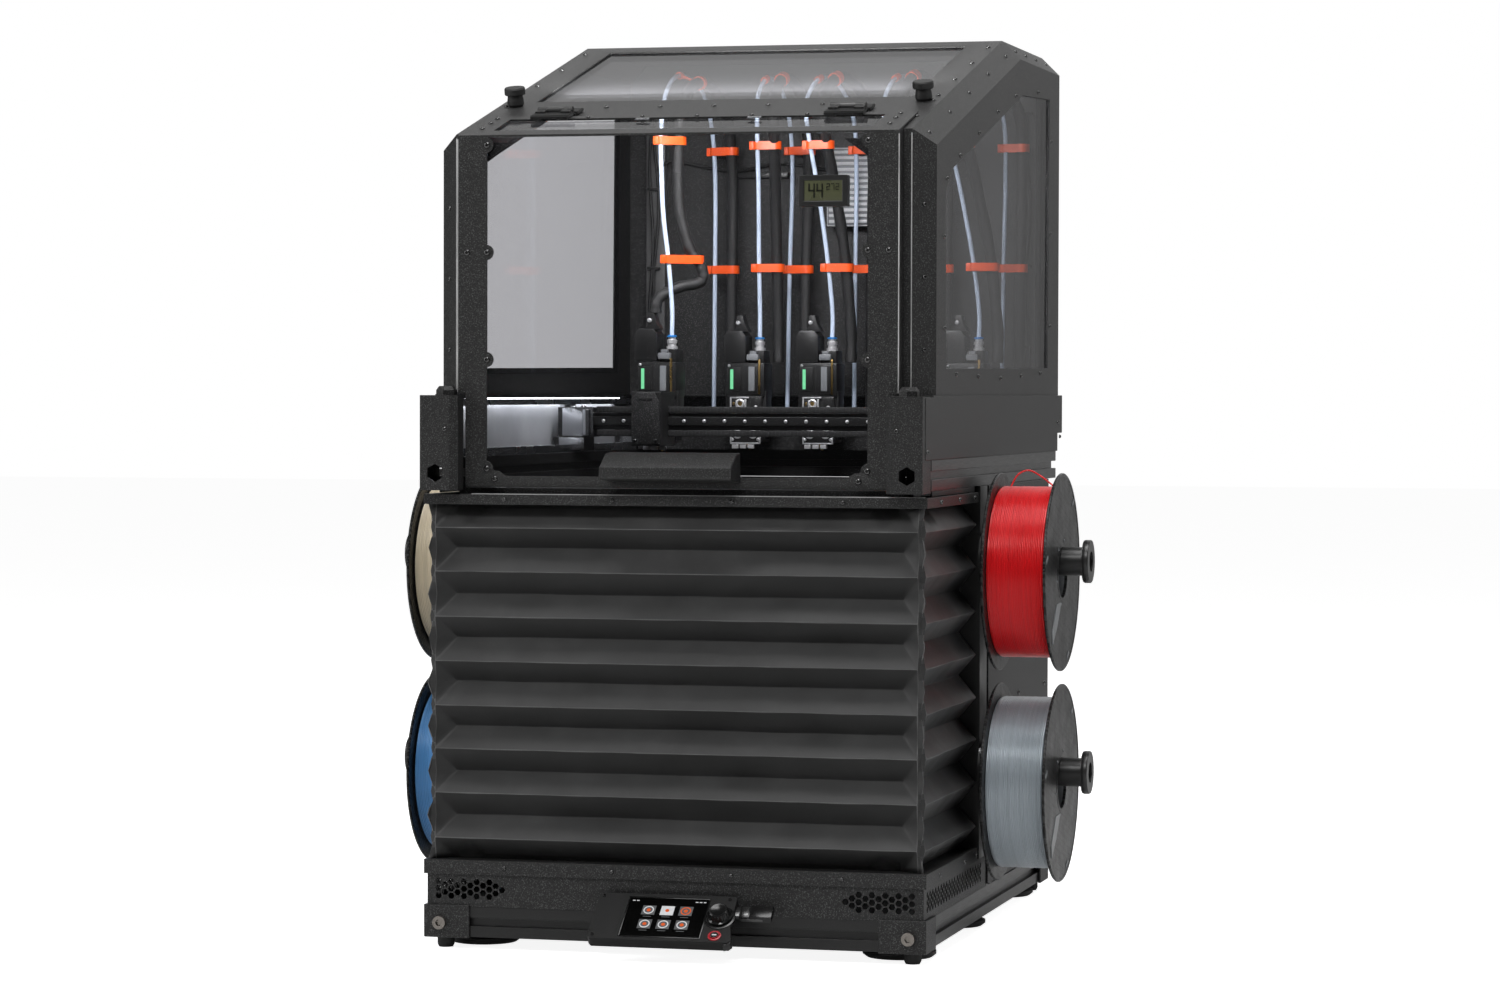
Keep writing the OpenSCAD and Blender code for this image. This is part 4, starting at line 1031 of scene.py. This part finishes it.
def make_door_plates():
    """Overlaid lower bar, light strips painted along the sheet edges as highlights, and the hinges' ribbed
    covers.
    """
    y = DOOR_LO.y
    bar = Shape()
    ends = [(213, 455.4), (213, 460.5), (200, 460.5), (190, 471), (179, 471), (171, 466)]
    bar.prism(ends + [(-x, z) for x, z in reversed(ends)], y - 0.9, y + 0.2, "xz", 0.25)
    bar.piece("door_lower_bar", "door", "powder_coat")
    # Painted highlights: thin light grey strips along the door, hood and bar edges stand in for edges
    # catching the light.
    edges = Shape()
    for s in (-1, 1):
        edges.box(s * 221.6 - 0.45, s * 221.6 + 0.45, y - 0.1, y + 2.2, HOOD_Z0 + 2, ROOF_FRONT_Z - 6, 0.15)
    edges.piece("door_edge_highlights", "door", "powder_coat", EDGE_HIGHLIGHT)
    edges = Shape()
    for s in (-1, 1):
        x = s * 229.6
        edges.box(x - 0.5, x + 0.5, HOOD_Y0 - 0.5, HOOD_Y0 + 0.6, HOOD_Z0 + 2, ROOF_FRONT_Z - 4, 0.15)
    edges.piece("hood_edge_highlights", "root", "powder_coat", EDGE_HIGHLIGHT)
    edges = Shape()
    edges.box(-204, 250, -2.6, -1, 447.4, 448.8, 0.2)
    edges.piece("bar_edge_highlight", "bellows_bar", "powder_coat", EDGE_HIGHLIGHT)

    axis_up = (103 - HOOD_Y0) / math.cos(SLOPE)
    fixed, moving = Shape(ROOF_FACE), Shape(ROOF_FACE)
    for x in (-150, 150):
        fixed.box(x - 20, x + 20, axis_up + 9, axis_up + 31, 1, 4.0, 0.6)
        for k in range(4):
            fixed.box(x - 20, x + 20, axis_up + 11 + 4.9 * k, axis_up + 13.4 + 4.9 * k, 3.8, 4.7, 0.3)
        moving.box(x - 20, x + 20, axis_up - 24, axis_up - 6.5, 3.4, 6.2, 0.8)
        for k in range(4):
            moving.box(x - 20, x + 20, axis_up - 22.5 + 4.4 * k, axis_up - 20.3 + 4.4 * k, 5.8, 7.2, 0.5)
    fixed.piece("hinge_covers_fixed", "root", "black_plastic")
    moving.piece("hinge_covers_moving", "door", "black_plastic")
    clips = Shape(ROOF_FACE)
    for x in (-52, 62):
        clips.box(x - 7, x + 7, axis_up - 31, axis_up - 28.4, 3, 4.4, 0.3)
    clips.piece("strip_clips", "door", "steel_parts")


WINDOW = [(97, 572), (646, 576), (652, 872), (495, 866), (122, 768), (90, 744)]


def make_hood_screws():
    shape = Shape()
    corners = [Vector((y, z)) for y, z in WINDOW]
    centre = Vector((370, 710))
    for a, b in zip(corners, corners[1:] + corners[:1]):
        count = max(1, round((b - a).length / 105))
        for i in range(count):
            p = a.lerp(b, (i + 0.5) / count)
            out = (p - centre).normalized() * 10
            for s in (-1, 1):
                shape.screw((s * HALF_W, p.x + out.x, p.y + out.y), (s, 0, 0), 4.6)
    up = on_slope(0, 0, 1) - on_slope(0, 0, 0)
    for s in (-1, 1):
        for along in (60, 140, 165, 250, 340, 430):
            shape.screw(on_slope(s * 222, along, 0), up, 5)
        for along in (30, 130, 230, 330, 430):
            p = on_slope(s * (HALF_W - CHAMFER / 2), along, -CHAMFER * 0.52)
            shape.screw(p, Vector((s, 0, 0)) + up, 4.6)
        for z in (590, 660, 730):
            p = (s * (HALF_W - CHAMFER / 2), HOOD_Y0 + CHAMFER / 2, z)
            shape.screw(p, (s, -1, 0), 4.6)
        for y in (500, 560, 620, 680):
            shape.screw((s * (HALF_W - CHAMFER / 2), y, ROOF_Z - CHAMFER / 2), (s, 0, 1), 4.6)
        for x in (70, 140, 196):
            shape.screw((s * x, HOOD_BACK, 560), (0, 1, 0), 5)
            shape.screw((s * x, HOOD_BACK, ROOF_Z - 14), (0, 1, 0), 5)
        for z in (600, 700, 800, 880):
            shape.screw((s * 238, HOOD_BACK, z), (0, 1, 0), 5)
        for y, z in ((-2, 492), (700, 516), (712, 500)):
            shape.screw((s * (HALF_W + 2), y, z), (s, 0, 0), 4)
        for x in (-9, 9):
            for along in (88, 98):
                shape.screw(on_slope(s * 150 + x, along + 2, 3), up, 4)
    for x in (-112, -56, 0, 56, 112):
        shape.screw(on_slope(x, 128, 0), up, 5)
    shape.piece("hood_screws", "root", "dark_screws")


def make_frame_screws():
    shape = Shape()
    for s in (-1, 1):
        for z in (110, 230, 350, 430):
            for y in (330, 470, 620):
                shape.screw((s * (HALF_W + 2), y, z), (s, 0, 0), 6)
        for y in (60, 180, 240):
            shape.screw((s * (HALF_W + 3), y, 81), (s, 0, 0), 4.6)
        shape.screw((s * 226, -20, 512), (0, -1, 0), 5)
        for x in (60, 170):
            shape.screw((s * x, -3, 81), (0, -1, 0), 4.6)
        for x in (150, 80):
            for z in (72, 418):
                shape.screw((s * x, 700, z), (0, 1, 0), 5)
        shape.screw((s * 236, 648, 250), (0, 1, 0), 5)
        shape.screw((s * 236, 648, 410), (0, 1, 0), 5)
    shape.piece("frame_screws", "root", "dark_screws")
    bars = Shape()
    for s in (-1, 1):
        for y in (60, 150, 225):
            bars.screw((s * (HALF_W + 3), y, 443), (s, 0, 0), 4.6)
        for x in (60, 170):
            bars.screw((s * x, -4, 443), (0, -1, 0), 4.6)
        bars.box(s * 238 - 9, s * 238 + 9, 180, 226, 447.6, 450.4, 0.8)
    bars.piece("bar_screws", "bellows_bar", "dark_screws")


def make_hygrometer():
    """Small display with four plain digits."""
    lo, hi = local_box("hygrometer")
    y = lo.y + 1.0
    x0, x1, z0, z1 = lo.x + 5, hi.x - 5, lo.z + 5, hi.z - 5
    glass = Shape()
    glass.box(x0, x1, y - 0.1, y + 0.5, z0, z1, 0.1)
    glass.piece("hygrometer_glass", "door", "screen_glass", LCD_GREEN)
    digits = Shape()
    segments = {
        "a": (0, 1, 1, 1), "b": (1, 0.5, 1, 1), "c": (1, 0, 1, 0.5), "d": (0, 0, 1, 0),
        "e": (0, 0, 0, 0.5), "f": (0, 0.5, 0, 1), "g": (0, 0.5, 1, 0.5),
    }
    numbers = {"4": "fgbc", "2": "abged", "7": "abc"}

    def digit(value, x, z, w, h, t):
        for name in numbers[value]:
            ax, az, bx, bz = segments[name]
            digits.box(x + ax * w - t, x + bx * w + t, y - 0.5, y - 0.15, z + az * h - t, z + bz * h + t, 0)

    digit("4", x0 + 5, z0 + 4, 5, 12, 0.7)
    digit("4", x0 + 13, z0 + 4, 5, 12, 0.7)
    for k, value in enumerate("272"):
        digit(value, x0 + 22.5 + 4.6 * k, z0 + 11, 2.6, 5.4, 0.35)
    digits.piece("hygrometer_digits", "door", "screen_glass", LCD_DIGIT)


# ---- control panel -----------------------------------------------------------------------

def make_panel():
    tiles, marks, accents = Shape(PANEL), Shape(PANEL), Shape(PANEL)
    face = -0.4
    for row in range(2):
        for col in range(3):
            cx, cy = -15.6 + 18.6 * col, 22 + 19 * (1 - row)
            target = marks if (row, col) == (0, 1) else tiles
            target.box(cx - 6.6, cx + 6.6, cy - 6.2, cy + 6.2, face - 0.1, face + 0.15, 0.1)
            rim = [(4.1, 0), (5.2, 0), (5.2, 0.3), (4.1, 0.3)]
            ring = accents if (row, col) == (0, 2) else marks
            ring.lathe((cx, cy, face + 0.1), (0, 0, 1), rim, 24, closed=True)
            accents.rod((cx, cy, face), (cx, cy, face + 0.45), 2.0, 16, 0.1)
            tiles.box(cx - 4, cx + 4, cy - 9, cy - 8.3, face - 0.05, face + 0.12, 0)
    for x in (-33, -29, 30, 34, 38):
        marks.box(x - 1.3, x + 1.3, 53.2, 54.2, face - 0.05, face + 0.12, 0)
    tiles.piece("screen_tiles", "root", "screen_glass", SCREEN_GREY)
    marks.piece("screen_marks", "root", "screen_glass", SCREEN_WHITE)
    accents.piece("screen_accents", "root", "screen_glass", SCREEN_ORANGE)

    trim = Shape(PANEL)
    for x0, x1, y0, y1 in (
        (-38.4, -37, 4, 58), (42, 43.4, 4, 58), (-38.4, 43.4, 3.4, 5), (-38.4, 43.4, 57, 58.6)
    ):
        trim.box(x0, x1, y0, y1, -0.8, 0.5, 0.3)
    collar = [(13, -0.4), (15.4, -0.4), (15.2, 0.5), (13.4, 0.8), (13, 0.4)]
    trim.lathe((57, 33, 0), (0, 0, 1), collar, 48, closed=True)
    trim.prism([(67, -3), (73.5, 1), (70.5, 22), (68.8, 24)], -9.5, -1.5, "xy", 0.6)
    for x, y in ((-64, 5), (-64, 58), (62, 58)):
        trim.screw((x, y, 0), (0, 0, 1), 3.2)
    trim.piece("panel_trim", "root", "black_plastic", KNOB_PLASTIC)

    red = Shape(PANEL)
    ring = [(4.4, -0.2), (6.6, -0.2), (6.4, 0.7), (5.2, 0.9), (4.5, 0.5)]
    red.lathe((57, 8.5, 0), (0, 0, 1), ring, 40, closed=True)
    red.piece("reset_ring", "root", "red_plastic")
    cap = Shape(PANEL)
    cap.rod((57, 8.5, 1.2), (57, 8.5, 1.62), 4.0, 32, 0.15)
    cap.piece("reset_cap", "reset_button", "black_plastic", KNOB_PLASTIC)
    mark = Shape(PANEL)
    mark.box(54.8, 59.2, 7.8, 9.2, 1.6, 1.8, 0.1)
    # The printed mark takes the screens' glowing white: a painted glow, with no lamp behind it.
    mark.piece("reset_mark", "reset_button", "steel_parts", SCREEN_WHITE)

    knob = Shape(PANEL)
    steps = 120
    rings = []
    for height, radius, flute in (
        (1.4, 11.4, 0), (2.0, 12, 0), (3.2, 12, 0), (3.7, 10.9, 0.1), (4.2, 10.5, 0.5), (9.0, 9.8, 0.5),
        (10.6, 9.4, 0.3), (11.4, 8.4, 0.05), (11.4, 6.8, 0), (10.9, 5.6, 0), (10.8, 0.05, 0),
    ):
        ring = []
        for k in range(steps):
            a = 2 * math.pi * k / steps
            r = radius - flute * max(0, math.cos(a * 20)) ** 0.5
            ring.append((57 + r * math.cos(a), 33 + r * math.sin(a), height))
        rings.append(ring)
    knob.rings(rings)
    obj = knob.piece("knob_grip", "control_knob", "black_plastic", KNOB_PLASTIC, smooth=30)
    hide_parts("control_knob")

    stick = Shape(PANEL)
    stick.box(84, 106.4, 37.6, 54.4, -9.0, -2.0, 1.6)
    stick.box(74, 85, 38.4, 53.6, -8.2, -2.8, 0.6)
    stick.piece("stick_case", "usb_stick", "black_plastic", KNOB_PLASTIC)
    metal = Shape(PANEL)
    metal.box(76, 83, 40, 52, -2.9, -2.2, 0.3)
    metal.box(76, 98, 37.0, 38.2, -7.6, -4.2, 0.3)
    metal.box(66, 74.5, 40, 52, -7.8, -3.2, 0.4)
    obj = metal.piece("stick_metal", "usb_stick", "steel_parts", MATERIALS["dark_screws"])
    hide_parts("usb_stick")


def make_filter_details():
    lo, hi = local_box("air_filter")
    shape = Shape()
    count = 13
    for k in range(count):
        z = lo.z + 5 + (hi.z - lo.z - 10) * k / (count - 1)
        shape.box(lo.x + 3, hi.x - 3, lo.y - 3.4, lo.y - 0.6, z - 1.7, z + 1.7, 0.5)
    back = Shape()
    back.box(lo.x + 1, hi.x - 1, lo.y - 1.2, lo.y + 0.5, lo.z + 1, hi.z - 1, 0.3)
    back.piece("filter_backing", "root", "black_plastic", GREY_PLASTIC)
    shape.piece("filter_ribs", "root", "filter_media")


def make_base_details():
    """Grip lobes round the six big feet."""
    shape = Shape()
    for s in (-1, 1):
        for y in (66, 312, 580):
            for k in range(12):
                a = 2 * math.pi * k / 12
                at = Vector((s * 212 + 31.5 * math.cos(a), y + 31.5 * math.sin(a), 0))
                shape.rod(at + Vector((0, 0, 1.5)), at + Vector((0, 0, 7.5)), 2.6, 10)
    shape.piece("foot_grips", "root", "rubber")


# ---- stage -------------------------------------------------------------------------------

def make_camera():
    """Looks at the front, a little from the right, from just above the middle."""
    yaw, pitch, roll = 0.2515107, 0.0263092, 0.0027058
    place = Vector((1.0713, -4.2023, 0.5494))
    ahead = Vector((-math.sin(yaw) * math.cos(pitch), math.cos(yaw) * math.cos(pitch), -math.sin(pitch)))
    right = Vector((math.cos(yaw), math.sin(yaw), 0))
    up = right.cross(ahead)
    across = right * math.cos(roll) + up * math.sin(roll)
    above = up * math.cos(roll) - right * math.sin(roll)
    data = bpy.data.cameras.new("camera")
    data.sensor_width = 36
    data.lens = 99.44
    cam = bpy.data.objects.new("camera", data)
    cam.matrix_world = Matrix.Translation(place) @ Matrix((across, above, -ahead)).transposed().to_4x4()
    scene.collection.objects.link(cam)
    scene.camera = cam


def make_light(name, place, target, size, power, colour=(1, 1, 1)):
    data = bpy.data.lights.new(name, "AREA")
    data.shape = "RECTANGLE"
    data.size, data.size_y = size
    data.energy = power
    data.color = colour
    light = bpy.data.objects.new(name, data)
    light.location = place
    light.rotation_euler = (Vector(target) - Vector(place)).to_track_quat("-Z", "Y").to_euler()
    scene.collection.objects.link(light)


def make_stage():
    floor = Nodes("floor")
    cloudy = floor.noise(400)
    seen = floor.add("ShaderNodeLightPath").outputs["Is Camera Ray"]
    shine = floor.spread(seen, 0.05, 0.9, 0, 1)
    floor.principled(Base_Color=floor.ramp(cloudy, [(0.3, grey(0.78)), (0.7, grey(0.8))]), Roughness=0.95,
                     Specular_IOR_Level=0.0, Emission_Color=(1, 1, 1, 1), Emission_Strength=shine)
    bpy.ops.mesh.primitive_plane_add(size=40, location=(0, 0, -0.0005))
    plane = bpy.context.object
    plane.name = "floor"
    plane.data.materials.append(floor.material)

    world = bpy.data.worlds.new("studio")
    scene.world = world
    world.use_nodes = True
    tree = world.node_tree
    tree.nodes.clear()
    out = tree.nodes.new("ShaderNodeOutputWorld")
    mix = tree.nodes.new("ShaderNodeMixShader")
    path = tree.nodes.new("ShaderNodeLightPath")
    for slot, strength in ((1, 0.09), (2, 1.0)):
        light = tree.nodes.new("ShaderNodeBackground")
        light.inputs["Color"].default_value = (1, 1, 1, 1)
        light.inputs["Strength"].default_value = strength
        tree.links.new(light.outputs[0], mix.inputs[slot])
    tree.links.new(path.outputs["Is Camera Ray"], mix.inputs[0])
    tree.links.new(mix.outputs[0], out.inputs["Surface"])
    scene.view_settings.view_transform = "Standard"

    make_light("top_box", (0.1, -0.4, 2.7), (0, 0, 0.6), (1.6, 1.2), 46)
    make_light("left_box", (-2.3, -1.5, 1.5), (0, 0, 0.6), (0.7, 2.0), 26)
    make_light("right_box", (2.6, -0.3, 1.6), (0.1, 0, 0.6), (0.4, 1.4), 9)
    make_light("front_box", (0.2, -3.3, 3.2), (0, -0.2, 0.4), (1.0, 0.7), 62)
    make_light("back_card", (0, 4.2, 3.2), (0, 0, 3.2), (9, 3.6), 85)
    make_light("low_card", (0.6, 4.2, 0.75), (0, 0, 0.75), (8, 1.3), 10)
    make_light("chamber", (0, -0.1, 0.86), (0, 0.4, 0.6), (0.36, 0.1), 3.6)


def main():
    make_camera()
    dress_cad_nodes()
    make_bellows()
    for node, strand in (
        ("spool_upper_right", "filament_red"), ("spool_lower_right", "filament_silver"),
        ("spool_upper_left", "filament_cream"), ("spool_lower_left", "filament_blue"),
    ):
        make_spool(node, strand)
    make_spool_holder_details()
    make_heads()
    make_leads()
    make_gantry_details()
    make_carriage_cover()
    make_chamber()
    make_door_screws()
    make_door_plates()
    make_hood_screws()
    make_frame_screws()
    make_hygrometer()
    make_panel()
    make_filter_details()
    make_base_details()
    make_stage()


main()
